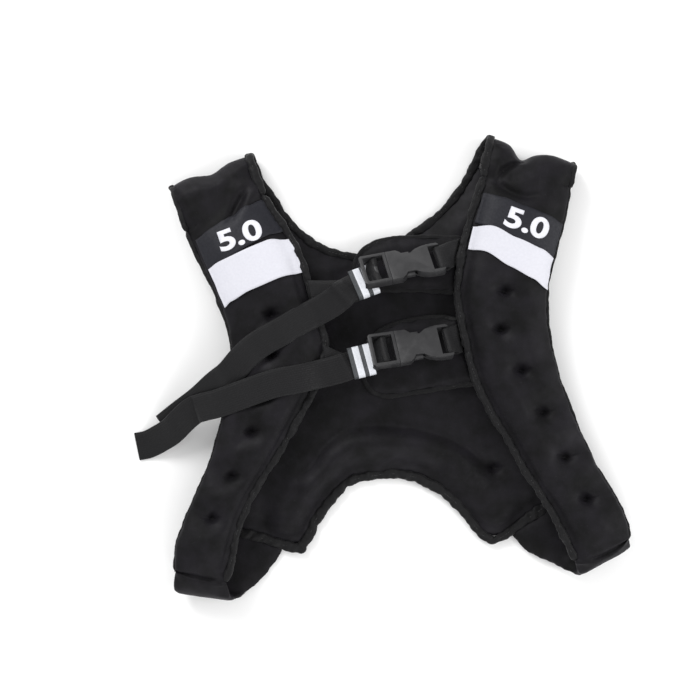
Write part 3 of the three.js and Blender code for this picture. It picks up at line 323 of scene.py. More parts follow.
def plastic_material():
    """Moulded acetal: a fine spark-eroded skin, rubbed lighter where it is touched."""
    material, tree, shader = new_material(
        "moulded plastic", (0.017, 0.0168, 0.018), 0.34, Specular_IOR_Level=0.5)
    vector = object_vector(tree)
    grain = add_node(tree, "ShaderNodeTexNoise", {"Scale": 3200.0, "Detail": 2.0}, Vector=vector)
    rub = add_node(tree, "ShaderNodeTexNoise", {"Scale": 160.0, "Detail": 5.0}, Vector=vector)
    tone = span(tree, rub.outputs["Fac"], 0.42, 0.68, 0.0, 1.0)
    color = blend_colors(tree, tone, (0.0185, 0.0183, 0.0197), (0.0215, 0.0212, 0.0228))
    tree.links.new(color, shader.inputs["Base Color"])
    tree.links.new(span(tree, rub.outputs["Fac"], 0.35, 0.7, 0.3, 0.46),
                   shader.inputs["Roughness"])
    bump(tree, shader, grain.outputs["Fac"], 0.25, 0.05 * MM)
    return material


def satin_material(name, color, shade, roughness, grain):
    """Close satin cloth: fine slanted floats with a little unevenness."""
    material, tree, shader = new_material(
        name, color, roughness, Sheen_Weight=0.05, Sheen_Roughness=0.4, Specular_IOR_Level=0.3)
    ribs = place_group(tree, RIBS, uv_vector(tree), Across=0.45, Along=0.35)
    tone = span(tree, ribs.outputs["Fray"], 0.3, 0.7, 0.0, 1.0)
    tree.links.new(blend_colors(tree, tone, color, shade), shader.inputs["Base Color"])
    tree.links.new(span(tree, ribs.outputs["Fray"], 0.3, 0.7, roughness + 0.08, roughness - 0.05),
                   shader.inputs["Roughness"])
    bump(tree, shader, ribs.outputs["Height"], grain, 0.05 * MM)
    return material


def floor_material():
    material, tree, shader = new_material("white floor", (0.9, 0.9, 0.9), 0.9)
    haze = add_node(tree, "ShaderNodeTexNoise", {"Scale": 3.0, "Detail": 3.0},
                    Vector=object_vector(tree))
    color = blend_colors(tree, haze.outputs["Fac"], (0.9, 0.9, 0.9), (0.92, 0.92, 0.92))
    tree.links.new(color, shader.inputs["Base Color"])
    return material


NEOPRENE = neoprene_material()
BINDING = tape_material(
    "elastic binding", (0.004, 0.0039, 0.0043), (0.011, 0.0105, 0.012), 2.4, 1.1, 0.12 * MM, 0.58,
    Sheen_Weight=0.05, Specular_IOR_Level=0.16)
WEBBING = tape_material(
    "strap webbing", (0.0038, 0.0038, 0.0042), (0.0132, 0.0126, 0.0148), 2.2, 1.5, 0.2 * MM, 0.54,
    Sheen_Weight=0.04, Specular_IOR_Level=0.2)
ELASTIC = tape_material(
    "keeper elastic", (0.03, 0.034, 0.038), (0.085, 0.09, 0.1), 1.5, 0.9, 0.15 * MM, 0.55)
REFLECTIVE = satin_material("reflective stripe", (0.66, 0.67, 0.71), (0.58, 0.6, 0.64), 0.4, 0.2)
PLASTIC = plastic_material()
LABEL = satin_material("white label satin", (0.6, 0.6, 0.65), (0.56, 0.56, 0.61), 0.45, 0.1)
PATCH = satin_material(
    "navy patch cloth", (0.0045, 0.0047, 0.0085), (0.0075, 0.0078, 0.013), 0.55, 0.5)
PRINT = satin_material("white print", (0.72, 0.72, 0.76), (0.6, 0.6, 0.65), 0.5, 0.3)
THREAD = tape_material(
    "black thread", (0.014, 0.014, 0.015), (0.04, 0.04, 0.042), 0.5, 0.4, 0.05 * MM, 0.5)


# Making and placing pieces

def bell(away, width):
    """1 at the middle, fading softly on both sides."""
    return math.exp(-(away / width) ** 2)


def ease(share):
    """From 0 to 1 with a soft start and a soft end."""
    return share * share * (3 - 2 * share)


def layered_noise(point, layers):
    """Noise in layers, each given by its fineness and its strength."""
    return sum(strength * noise.noise(point * fineness) for fineness, strength in layers)


def add_object(name, mesh):
    made = bpy.data.objects.new(name, mesh)
    bpy.context.scene.collection.objects.link(made)
    return made


def from_bmesh(name, shape, *materials):
    mesh = bpy.data.meshes.new(name)
    shape.to_mesh(mesh)
    shape.free()
    for polygon in mesh.polygons:
        polygon.use_smooth = True
    made = add_object(name, mesh)
    for material in materials:
        mesh.materials.append(material)
    return made


def merged_copy(node):
    """A solid's mesh with its loose triangles joined."""
    shape = bmesh.new()
    shape.from_mesh(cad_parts[node].data)
    bmesh.ops.remove_doubles(shape, verts=shape.verts, dist=0.02 * MM)
    return shape


def settle(made, slot, *nodes):
    """A finished piece rides on the vest and stands for its solids."""
    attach(made, "root")
    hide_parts(*nodes)
    return made


def bake_modifiers(made):
    """The modifiers become part of the mesh."""
    graph = bpy.context.evaluated_depsgraph_get()
    mesh = bpy.data.meshes.new_from_object(made.evaluated_get(graph), depsgraph=graph)
    made.modifiers.clear()
    made.data = mesh
    for polygon in mesh.polygons:
        polygon.use_smooth = True


def thicken(made, thickness):
    """Gives a skin a wall, inwards from its face."""
    wall = made.modifiers.new("wall", "SOLIDIFY")
    wall.thickness = thickness
    wall.offset = -1
    bake_modifiers(made)


def face_up(shape):
    """Turns a flat piece's faces up, with a UV map in metres as seen from above."""
    layer = shape.loops.layers.uv.new("UVMap")
    for face in shape.faces:
        for loop in face.loops:
            loop[layer].uv = (loop.vert.co.x, loop.vert.co.y)
    if middle([face.normal for face in shape.faces]).z < 0:
        bmesh.ops.reverse_faces(shape, faces=shape.faces)


def voxel_remesh(made, size):
    modifier = made.modifiers.new("even faces", "REMESH")
    modifier.mode = "VOXEL"
    modifier.voxel_size = size
    bake_modifiers(made)


def subdivide(made, levels=1):
    modifier = made.modifiers.new("round", "SUBSURF")
    modifier.levels = levels
    modifier.render_levels = levels
    bake_modifiers(made)


def relax(made, rounds, factor=0.5):
    """Takes the facets out of a mesh."""
    shape = bmesh.new()
    shape.from_mesh(made.data)
    for _ in range(rounds):
        bmesh.ops.smooth_vert(
            shape, verts=shape.verts, factor=factor, use_axis_x=True, use_axis_y=True,
            use_axis_z=True)
    shape.to_mesh(made.data)
    shape.free()


CLOTH_PRESSURE = 4.0
CLOTH_STIFFNESS = 12
CLOTH_STEPS = 20


def inflate(made, cap, sewn):
    """Cloth filled from inside: it swells between the sewn points, by at most the cap."""
    rest = [vertex.co.copy() for vertex in made.data.vertices]
    group = made.vertex_groups.new(name="sewn")
    group.add([k for k, point in enumerate(rest) if sewn(point)], 1, "REPLACE")
    modifier = made.modifiers.new("Cloth", "CLOTH")
    modifier.settings.vertex_group_mass = "sewn"
    modifier.settings.use_pressure = True
    modifier.settings.uniform_pressure_force = CLOTH_PRESSURE
    modifier.settings.effector_weights.gravity = 0
    modifier.settings.quality = 4
    modifier.settings.tension_stiffness = CLOTH_STIFFNESS
    modifier.settings.compression_stiffness = CLOTH_STIFFNESS
    scene = bpy.context.scene
    modifier.point_cache.frame_end = CLOTH_STEPS
    for step in range(1, CLOTH_STEPS + 1):
        scene.frame_set(step)
    graph = bpy.context.evaluated_depsgraph_get()
    swollen = made.evaluated_get(graph).to_mesh()
    moved = [vertex.co.copy() for vertex in swollen.vertices]
    made.modifiers.clear()
    scene.frame_set(1)
    for vertex, before, after in zip(made.data.vertices, rest, moved):
        push = after - before
        if push.length > cap:
            push *= cap / push.length
        vertex.co = before + push
    made.vertex_groups.clear()


# Floor, light and camera

CAMERA_PLACE = (-0.05, 0.0185, 1.6)
CAMERA_LENS = 80.23
SKY_STRENGTH = 0.75
LIGHTS = {
    "key": {"place": (-1.1, 1.5, 1.3), "size": 1.0, "power": 34},
    "side": {"place": (1.7, -0.2, 1.1), "size": 1.2, "power": 20},
    "front": {"place": (0.1, -1.8, 1.2), "size": 1.2, "power": 12},
}


def add_floor():
    shape = bmesh.new()
    bmesh.ops.create_grid(shape, x_segments=2, y_segments=2, size=4)
    floor = from_bmesh("floor", shape, floor_material())


def add_light(name, place, size, power):
    """A square soft light that points at the vest."""
    data = bpy.data.lights.new(name, "AREA")
    data.shape = "RECTANGLE"
    data.size, data.size_y = size, size
    data.energy = power
    light = add_object(name, data)
    light.location = place
    light.rotation_euler = (-Vector(place)).to_track_quat("-Z", "Y").to_euler()


def add_camera():
    data = bpy.data.cameras.new("camera")
    data.lens = CAMERA_LENS
    camera = add_object("camera", data)
    camera.location = CAMERA_PLACE
    bpy.context.scene.camera = camera


def add_stage():
    add_floor()
    world = bpy.data.worlds.new("studio")
    world.use_nodes = True
    world.node_tree.nodes["Background"].inputs["Color"].default_value = (1, 1, 1, 1)
    world.node_tree.nodes["Background"].inputs["Strength"].default_value = SKY_STRENGTH
    bpy.context.scene.world = world
    bpy.context.scene.view_settings.view_transform = "Standard"
    for name, facts in LIGHTS.items():
        add_light(name, **facts)
    add_camera()


# Lines and surfaces that the fine work follows

def smooth_path(points, step):
    """Even steps along a smooth curve through the points."""
    ends = [points[0] * 2 - points[1], *points, points[-1] * 2 - points[-2]]
    fine = []
    for before, start, stop, after in zip(ends, ends[1:], ends[2:], ends[3:]):
        count = max(2, math.ceil((stop - start).length / step * 2))
        for k in range(count):
            t = k / count
            fine.append(0.5 * (
                2 * start + (stop - before) * t
                + (2 * before - 5 * start + 4 * stop - after) * t ** 2
                + (3 * start - before - 3 * stop + after) * t ** 3))
    fine.append(points[-1].copy())
    lengths = [0.0]
    for first, second in zip(fine, fine[1:]):
        lengths.append(lengths[-1] + (second - first).length)
    count = max(2, round(lengths[-1] / step))
    path, k = [], 0
    for n in range(count + 1):
        target = lengths[-1] * n / count
        while k < len(fine) - 2 and lengths[k + 1] < target:
            k += 1
        share = (target - lengths[k]) / max(lengths[k + 1] - lengths[k], 1e-9)
        path.append(fine[k].lerp(fine[k + 1], min(share, 1)))
    return path


def headings(path):
    spread = [path[0], *path, path[-1]]
    return [(after - before).normalized() for before, after in zip(spread, spread[2:])]


def flat_line(points):
    """A smooth line on the floor through points given in millimetres."""
    return smooth_path([Vector((x, y, 0)) * MM for x, y in points], LINE_STEP)


def nearest_step(path, point):
    """How far a flat point is from a line, and at which of its steps."""
    return min(((point - spot).length, k) for k, spot in enumerate(path))


def rings_of(node, sides):
    """The rings of points of a solid tube, from its one end to its other."""
    shape = merged_copy(node)
    caps = []
    for face in shape.faces:
        cap, queue = {face}, [face]
        while queue:
            for edge in queue.pop().edges:
                for other in edge.link_faces:
                    if other not in cap and other.normal.dot(face.normal) > 0.9999:
                        cap.add(other)
                        queue.append(other)
        corners = {vertex for member in cap for vertex in member.verts}
        if len(corners) == sides and corners not in caps:
            caps.append(corners)
    for ring in caps:
        layers, seen = [], set()
        while ring:
            layers.append(list(ring))
            seen |= ring
            ring = {
                edge.other_vert(vertex) for vertex in ring for edge in vertex.link_edges
            } - seen
        if all(len(layer) == sides for layer in layers):
            points = [[vertex.co.copy() for vertex in layer] for layer in layers]
            shape.free()
            return points
    raise ValueError(f"{node} isn't a tube with {sides} sides")


def middle(points):
    return sum(points, Vector()) / len(points)


def surface_of(*made):
    """One search tree over the finished meshes of several pieces."""
    points, faces = [], []
    for piece in made:
        base = len(points)
        points.extend(vertex.co.copy() for vertex in piece.data.vertices)
        faces.extend([base + k for k in polygon.vertices] for polygon in piece.data.polygons)
    return BVHTree.FromPolygons(points, faces)


def sweep(rings, spans):
    """A closed tube through rings of points, with a UV map in metres: across, then along."""
    shape = bmesh.new()
    layer = shape.loops.layers.uv.new("UVMap")
    loops = [[shape.verts.new(point) for point in ring] for ring in rings]
    around = [0.0]
    for first, second in zip(rings[0], rings[0][1:] + rings[0][:1]):
        around.append(around[-1] + (second - first).length)
    for k, (low, high) in enumerate(zip(loops, loops[1:])):
        for n in range(len(low)):
            after = (n + 1) % len(low)
            face = shape.faces.new((low[n], low[after], high[after], high[n]))
            corners = ((n, k), (n + 1, k), (n + 1, k + 1), (n, k + 1))
            for loop, (u, v) in zip(face.loops, corners):
                loop[layer].uv = (around[u], spans[v])
    for ring in (loops[0], loops[-1]):
        shape.faces.new(ring)
    bmesh.ops.recalc_face_normals(shape, faces=shape.faces)
    return shape


def distances(path):
    spans = [0.0]
    for first, second in zip(path, path[1:]):
        spans.append(spans[-1] + (second - first).length)
    return spans


# Padded pieces

def near_tack(point, tacks, reach):
    return any(math.hypot(point.x - x * MM, point.y - y * MM) < reach for x, y in tacks)


def fill_out(piece, solid, share):
    """Brings a smoothed mesh back towards its solid's outer form."""
    for vertex in piece.data.vertices:
        nearest = solid.find_nearest(vertex.co)[0]
        vertex.co = vertex.co.lerp(nearest, share)


# What a tack does, in millimetres: a pit and a bowl around it, each with its depth and width,
# and a curved fold below it.
TACK_PIT = (5.2, 4.2)
TACK_BOWL = (4.6, 12)
TACK_FOLD = {"depth": 3.2, "width": 2.2, "centre": 7, "radius": 9.5, "top": 2, "spread": 9}
TACK_REACH = 32


def tack_dent(point, tacks):
    """How far the tacks pull the cloth down."""
    dent = 0.0
    for x, y in tacks:
        across, along = point.x / MM - x, point.y / MM - y
        away = math.hypot(across, along)
        if away > TACK_REACH:
            continue
        for depth, width in (TACK_PIT, TACK_BOWL):
            dent += depth * bell(away, width)
        if along < TACK_FOLD["top"]:
            off_fold = math.hypot(across, along - TACK_FOLD["centre"]) - TACK_FOLD["radius"]
            fold = TACK_FOLD["depth"] * bell(off_fold, TACK_FOLD["width"])
            dent += fold * bell(across, TACK_FOLD["spread"])
    return dent * MM


CREASE_FAR = 130 * MM  # a crease whose middle is farther off isn't felt
CREASE_WIDTHS = 3
CREASE_END = 0.25
CREASE_FADE = 5  # steps of its line from either end, roughly, until it is full


def crease_lines(creases):
    """The creases as smooth lines of flat points with their depths and widths."""
    return [(flat_line(points), depth * MM, width * MM) for points, depth, width in creases]


def crease_dent(point, lines):
    """How far the creases lower the cloth; ridges give less than nothing."""
    flat = Vector((point.x, point.y, 0))
    dent = 0.0
    for path, depth, width in lines:
        if (flat - path[len(path) // 2]).length > CREASE_FAR:
            continue
        away, k = nearest_step(path, flat)
        if away < CREASE_WIDTHS * width:
            fade = min(1.0, CREASE_END + min(k, len(path) - 1 - k) / CREASE_FADE)
            dent += depth * fade * bell(away, width)
    return dent


def even_out(piece):
    """Flattens the stretch of the back where the pocket is set."""
    (x0, y0), (x1, y1) = POCKET_STRETCH
    shape = bmesh.new()
    shape.from_mesh(piece.data)
    shape.normal_update()
    chosen = [
        vertex for vertex in shape.verts
        if vertex.normal.z > 0.3 and x0 < vertex.co.x / MM < x1 and y0 < vertex.co.y / MM < y1]
    for _ in range(EVEN_ROUNDS):
        bmesh.ops.smooth_vert(
            shape, verts=chosen, factor=0.5, use_axis_x=False, use_axis_y=False,
            use_axis_z=True)
    shape.to_mesh(piece.data)
    shape.free()


def pocket_rise(point, path):
    """How far the pocket stands up: a groove on its line and a soft ridge behind it."""
    flat = Vector((point.x, point.y, 0))
    away, k = nearest_step(path, flat)
    if away > POCKET_REACH:
        return 0.0
    last = len(path) - 1
    ahead = path[min(k + 1, last)] - path[max(k - 1, 0)]
    if ahead.cross(flat - path[k]).z > 0:
        away = -away
    ridge, groove = (
        form["high"] * bell(away - form["behind"], form["wide"])
        for form in (POCKET_RIDGE, POCKET_GROOVE))
    return (ridge - groove) * ease(min(1.0, min(k, last - k) / POCKET_FADE))


# How cloth lies along its tapes. It is drawn in from up to DRAW_REACH off, over a hidden tape
# and under one that shows, and gathered and pressed down beside the stitches.
DRAW_START = 5 * MM
DRAW_REACH = 22 * MM
DRAW_FADE = 12 * MM
DRAW_OVER = 9.5 * MM
DRAW_UNDER = 8 * MM
DRAW_HEIGHT = 2.5 * MM
DRAW_LIFT = 0.3  # the share of the draw that is felt up or down
GATHER_NOISE = ((110, 1.0), (260, 0.7))
GATHER_REACH = 9 * MM
PRESSED = {"depth": 0.9 * MM, "off": 8 * MM, "width": 1.6 * MM}
SAG_NOISE = ((21, 1.4), (60, 0.5))
TOP_FACING = 0.1


def drawn_in(away, rise, hidden):
    """How far the cloth at this distance from a seam is drawn to it, under or over its tape."""
    share = 1 - math.exp(-away / DRAW_START)
    share *= ease(min(1.0, max(0.0, (DRAW_REACH - away) / DRAW_FADE)))
    if hidden:
        return DRAW_OVER * share
    return DRAW_UNDER * share * bell(max(0.0, abs(rise) - MM), DRAW_HEIGHT)


def work_cloth(piece, seams, tacks, form, depth):
    """Draws the cloth to its tapes, gathers it there, and sets its dents and creases."""
    tree = KDTree(len(seams))
    for k, (point, _) in enumerate(seams):
        tree.insert(point, k)
    tree.balance()
    lines = crease_lines(CREASES.get(form, ()))
    pocket = flat_line(POCKET)
    tucks = [(Vector((*place, 0)) * MM, Vector((*push, 0)) * MM, reach * MM)
             for place, push, reach in TUCKS.get(form, ())]
    mesh = piece.data
    normals = [vertex.normal.copy() for vertex in mesh.vertices]
    for vertex, normal in zip(mesh.vertices, normals):
        point = vertex.co.copy()
        near, k, away = tree.find(point)
        hidden = seams[k][1]
        swell = depth * layered_noise(near, GATHER_NOISE) * bell(away, GATHER_REACH)
        if not hidden:
            swell -= PRESSED["depth"] * bell(away - PRESSED["off"], PRESSED["width"])
        swell += MM * layered_noise(point, SAG_NOISE)
        vertex.co += normal * swell
        if MM < away < DRAW_REACH:
            towards = (near - point).normalized()
            towards.z *= DRAW_LIFT
            vertex.co += towards * drawn_in(away, point.z - near.z, hidden)
        if normal.z > TOP_FACING:
            vertex.co.z -= tack_dent(point, tacks) + crease_dent(point, lines)
            if form == "back":
                vertex.co.z += pocket_rise(point, pocket)
        for place, push, reach in tucks:
            aside = Vector((point.x, point.y, 0)) - place
            vertex.co += push * bell(aside.length, reach)
        vertex.co.z = max(vertex.co.z, FLOOR_GAP)
    mesh.update()


def seams_of(tapes, *words):
    """The lines of the tapes named so, each point with whether its tape hides under the edge."""
    return [
        (point, "outer" in node) for node, path in tapes.items()
        if any(word in node for word in words) for point in path]


FILL_SHARE = 0.85  # how far a smoothed piece is brought back to its solid
SEWN_REACH = 5 * MM


def add_padding(name, nodes, seams, voxel, rounds, cap=2.5 * MM, tacks=(), form="",
                depth=1.1 * MM):
    """A padded piece of the vest: its solids as one with even faces, filled from inside."""
    shape = bmesh.new()
    for node in nodes:
        part = merged_copy(node)
        joined = bpy.data.meshes.new(node)
        part.to_mesh(joined)
        part.free()
        shape.from_mesh(joined)
        bpy.data.meshes.remove(joined)
    solid = BVHTree.FromBMesh(shape)
    piece = from_bmesh(name, shape, NEOPRENE)
    voxel_remesh(piece, voxel)
    relax(piece, rounds)
    fill_out(piece, solid, FILL_SHARE)
    if len(nodes) > 1:
        relax(piece, 2)
    inflate(piece, cap, lambda point: near_tack(point, tacks, SEWN_REACH))
    relax(piece, 1)
    if form == "back":
        even_out(piece)
    subdivide(piece)
    work_cloth(piece, seams, tacks, form, depth)
    piece.data.materials.clear()
    piece.data.materials.append(NEOPRENE)
    settle(piece, "neoprene", *nodes)
    return piece


# Bindings: elastic tape folded over an edge, gathered by its stitching

TAPE_STEP = 1.7 * MM
TAPE_SIDES = 14
TAPE_TAPER = 5 * MM
TAPE_END = 0.35  # a tape's size at its ends, as a share
TAPE_SQUARENESS = 0.8  # 1 is an oval section, less is a squarer one
TAPE_SWELL = ((110, 0.26), (300, 0.12))
TAPE_WANDER = {"most": 1.1 * MM, "fineness": 55}
TAPE_VALLEY = {"depth": 0.9 * MM, "width": 0.25}
STITCH_LENGTH = 2.3 * MM
STITCH_PITCH = 3.4 * MM
STITCH_RADIUS = 0.28 * MM
STITCH_SINK = 0.75 * MM

# Each kind of tape by a word in its node's name: how wide and high it shows beside its solid,
# how far it lies below it, and how strongly it is gathered.
TAPES = {
    "inner": {"wide": 0.92, "high": 0.9, "sink": -0.6 * MM, "gather": 1.6 * MM},
    "outer": {"wide": 0.62, "high": 0.55, "sink": 2.6 * MM, "gather": 0.6 * MM},
    "neckline": {"wide": 1.0, "high": 0.85, "sink": 0.0, "gather": 1.3 * MM},
    "back": {"wide": 0.62, "high": 0.6, "sink": 1.2 * MM, "gather": 0.6 * MM},
    "waist": {"wide": 1.1, "high": 0.95, "sink": -0.8 * MM, "gather": 1.7 * MM},
    "border": {"wide": 0.66, "high": 0.5, "sink": 0.9 * MM, "gather": 0.5 * MM},
}


def tape_line(node):
    """A binding's middle line with its half width and half thickness."""
    rings = rings_of(node, 6)
    centres = [middle(ring) for ring in rings]
    mid = len(rings) // 2
    ahead = (centres[mid + 1] - centres[mid - 1]).normalized()
    flat = ahead.cross(UP).normalized()
    square = flat.cross(ahead)
    width = max(abs((point - centres[mid]).dot(flat)) for point in rings[mid])
    height = max(abs((point - centres[mid]).dot(square)) for point in rings[mid])
    return smooth_path(centres, TAPE_STEP), width, height


def add_stitches(shape, places):
    """Short threads, each with its place and the way that it runs."""
    for place, ahead in places:
        turn = ahead.to_track_quat("Z", "Y").to_matrix().to_4x4()
        bmesh.ops.create_cone(
            shape, cap_ends=True, segments=6, radius1=STITCH_RADIUS,
            radius2=STITCH_RADIUS, depth=STITCH_LENGTH, matrix=Matrix.Translation(place) @ turn)


def tape_ring(point, centre, flat, square, width, height, gather):
    """The points around a tape at one of its steps, crimped, with a valley along its top."""
    ring = []
    for k in range(TAPE_SIDES):
        angle = 2 * math.pi * k / TAPE_SIDES
        bend, rise = (
            math.copysign(abs(part) ** TAPE_SQUARENESS, part)
            for part in (math.cos(angle), math.sin(angle)))
        side = Vector((bend, rise, 0))
        crimp = gather * (
            noise.noise(point * 170 + side * 0.8) + 0.5 * noise.noise(point * 420 + side))
        valley = TAPE_VALLEY["depth"] * bell(bend, TAPE_VALLEY["width"]) if rise > 0 else 0.0
        corner = (centre + flat * bend * (width + crimp)
                  + square * (rise * (height + crimp) - valley))
        corner.z = max(corner.z, FLOOR_GAP)
        ring.append(corner)
    return ring


def add_tape(node):
    """One binding with its stitches; gives the line that it follows."""
    form = next(form for word, form in TAPES.items() if word in node)
    path, width, height = tape_line(node)
    width *= form["wide"]
    height *= form["high"]
    spans = distances(path)
    rings, stitches = [], []
    next_stitch = STITCH_PITCH
    for point, heading, span_at in zip(path, headings(path), spans):
        flat = heading.cross(UP).normalized()
        square = flat.cross(heading)
        ends = min(span_at, spans[-1] - span_at)
        taper = TAPE_END + (1 - TAPE_END) * min(1.0, ends / TAPE_TAPER) ** 0.5
        swell = taper * (1 + layered_noise(point, TAPE_SWELL))
        wander = TAPE_WANDER["most"] * noise.noise(point * TAPE_WANDER["fineness"] + UP)
        centre = point + flat * wander - square * form["sink"]
        rings.append(tape_ring(
            point, centre, flat, square, width * swell, height * swell, form["gather"]))
        if span_at > next_stitch:
            next_stitch += STITCH_PITCH
            stitches.append((centre + square * (height * swell - STITCH_SINK), heading))
    piece = from_bmesh(f"{node}_tape", sweep(rings, spans), BINDING)
    subdivide(piece)
    thread = bmesh.new()
    add_stitches(thread, stitches)
    threads = from_bmesh(f"{node}_stitches", thread, THREAD)
    settle(piece, "binding", node)
    settle(threads, "binding")
    return path


# Straps and webs

WEB_STEP = 2.0 * MM
WEB_PLIES = 14
WEB_THICKNESS = 1.5 * MM
WEB_SELVEDGE = 0.5  # the thickness at the outermost plies, as a share
WEB_RIB = 0.06 * MM
WEB_RIBS = 6
WEB_WAVE = {"most": 0.45 * MM, "fineness": 60}

# Folds pressed across a strap, in millimetres: the place, the depth and the width
FOLDS = {
    "strap_lower": (((-208, -42), 2.6, 3), ((-196, -34), -1.4, 4)),
    "strap_upper": (((-150, 6), 1.2, 4),),
}


def web_line(node):
    """A strap's middle line and the vector from its middle to its one edge, at each ring."""
    centres, halves = [], []
    for ring in rings_of(node, 4):
        first = ring[0]
        partner = min(ring[1:], key=lambda point: (point - first).length)
        others = [point for point in ring if point is not first and point is not partner]
        half = (middle(others) - middle([first, partner])) / 2
        if halves and half.dot(halves[-1]) < 0:
            half.negate()
        centres.append(middle(ring))
        halves.append(half)
    return centres, halves


def fold_dent(node, mid):
    """How far the folds press a strap in at one place on its middle line."""
    dent = 0.0
    for (x, y), depth, width in FOLDS.get(node, ()):
        dent += depth * MM * bell(math.hypot(mid.x / MM - x, mid.y / MM - y), width)
    return dent


def add_web(node):
    """Woven strap: a thin band with rounded selvedges, waves and folds."""
    centres, halves = web_line(node)
    fine_step = WEB_STEP / 4
    low = smooth_path([centre - half for centre, half in zip(centres, halves)], fine_step)
    high = smooth_path([centre + half for centre, half in zip(centres, halves)], fine_step)
    count = round(distances(smooth_path(centres, WEB_STEP))[-1] / WEB_STEP)
    edges = []
    for n in range(count + 1):
        share = n / count
        edges.append((low[round(share * (len(low) - 1))], high[round(share * (len(high) - 1))]))
    mids = [(start + stop) / 2 for start, stop in edges]
    loops = []
    for (start, stop), mid, heading in zip(edges, mids, headings(mids)):
        across = stop - start
        normal = across.cross(heading).normalized()
        dent = normal * fold_dent(node, mid) * (-1 if normal.z < 0 else 1)
        wave = WEB_WAVE["most"] * noise.noise(mid * WEB_WAVE["fineness"])
        loop = []
        for face in (1, -1):
            for k in range(WEB_PLIES):
                share = (k + 0.5) / WEB_PLIES if face > 0 else 1 - (k + 0.5) / WEB_PLIES
                edge = min(share, 1 - share) * WEB_PLIES
                thin = WEB_SELVEDGE if edge < 1 else 1.0
                rib = WEB_RIB * math.cos(share * 2 * math.pi * WEB_RIBS)
                level = face * (WEB_THICKNESS / 2 * thin + rib)
                level += wave * math.sin(share * math.pi)
                loop.append(start + across * share + normal * level - dent)
            edge_share = 1 if face > 0 else 0
            loop.append(start + across * (edge_share + 0.002 * face) - dent)
        loops.append(loop)
    piece = from_bmesh(f"{node}_web", sweep(loops, distances(mids)), WEBBING)
    return settle(piece, "webbing", node)


# Buckles and keepers

def buckle_matrix(end):
    facts = BUCKLES[end]
    place = Matrix.Translation(Vector(facts["place"]) * MM)
    angles = [math.radians(angle) for angle in (-facts["roll"], facts["pitch"], facts["turn"])]
    return place @ Euler(angles, "XYZ").to_matrix().to_4x4()


def keeper_matrix(end):
    facts = BUCKLES[end]["keeper"]
    x = CROSSBAR - BAR_REACH - facts["back"] - BUCKLE_MIDDLE
    place = Matrix.Translation(Vector((x, 0, -facts["drop"])) * MM)
    angles = [math.radians(facts[key]) for key in ("roll", "pitch", "turn")]
    return buckle_matrix(end) @ place @ Euler(angles, "XYZ").to_matrix().to_4x4()


# A socket's sides are drawn in at its waist, in millimetres along it from its mouth.
WAIST_MIDDLE = 21
WAIST_REACH = 6.5
WAIST_DEPTH = 2.4
WAIST_OUTSIDE = 11
EDGE_ROUNDING = 0.55 * MM
FLAT_ANGLE = math.radians(1)
SHARP_ANGLE = math.radians(35)


def add_moulding(node, end):
    """A moulded plastic piece: its solid with a drawn-in waist and every edge rounded."""
    shape = merged_copy(node)
    place = buckle_matrix(end)
    back = place.inverted()
    for vertex in shape.verts:
        local = back @ vertex.co / MM
        if node.startswith("socket") and abs(local.y) > WAIST_OUTSIDE:
            draw = WAIST_DEPTH * bell(local.x + BUCKLE_MIDDLE - WAIST_MIDDLE, WAIST_REACH)
            local.y -= math.copysign(draw, local.y)
            vertex.co = place @ (local * MM)
    bmesh.ops.dissolve_limit(
        shape, angle_limit=FLAT_ANGLE, verts=shape.verts, edges=shape.edges)
    sharp = [edge for edge in shape.edges
             if edge.is_manifold and edge.calc_face_angle(0) > SHARP_ANGLE]
    bmesh.ops.bevel(
        shape, geom=sharp, offset=EDGE_ROUNDING, offset_type="OFFSET", segments=3, profile=0.5,
        affect="EDGES", clamp_overlap=True, material=-1)
    return settle(from_bmesh(f"{node}_moulding", shape, PLASTIC), "plastic", node)


# Keepers, in millimetres: where the stripes begin and end, how far each keeper has slid to its
# buckle, and how far in degrees it is turned on its strap.
STRIPES = ((-18.5, -11.5), (-7.5, -0.5))
STRIPE_EDGE = 0.15
STRIPE_RISE = 0.18
KEEPER_SLIP = {"upper": 6, "lower": 0}
KEEPER_SKEW = -7
KEEPER_CORNER = 3.2
KEEPER_STEP = 1.5
KEEPER_RIM = (0.8, 0.25)
KEEPER_PUFF = 0.25
KEEPER_WALL = 1.2 * MM
KEEPER_PITCH = 2.2 * MM


def keeper_profile():
    """The loop's section: rounded corners, with even points along its wide sides."""
    y, z = KEEPER_WIDTH / 2 - KEEPER_CORNER, KEEPER_HEIGHT / 2 - KEEPER_CORNER
    profile = []
    for centre_y, centre_z, start in ((y, z, 0), (-y, z, 90), (-y, -z, 180), (y, -z, 270)):
        for k in range(7):
            angle = math.radians(start + 15 * k)
            profile.append((centre_y + KEEPER_CORNER * math.cos(angle),
                            centre_z + KEEPER_CORNER * math.sin(angle)))
        if start in (0, 180):
            last_y, last_z = profile[-1]
            profile.extend((last_y - 2 * last_y * k / 10, last_z) for k in range(1, 10))
    return profile


def keeper_steps():
    """Even steps along a keeper, with one at each edge of a stripe."""
    marks = sorted({-KEEPER_LENGTH, -KEEPER_LENGTH + KEEPER_RIM[0], -KEEPER_RIM[1], 0, *(
        x + shift for pair in STRIPES for x in pair for shift in (-STRIPE_EDGE, STRIPE_EDGE))})
    steps = [marks[0]]
    for mark in marks[1:]:
        base = steps[-1]
        count = max(1, math.ceil((mark - base) / KEEPER_STEP))
        steps.extend(base + (mark - base) * k / count for k in range(1, count + 1))
    return steps


def on_stripe(x):
    return any(low < x < high for low, high in STRIPES)


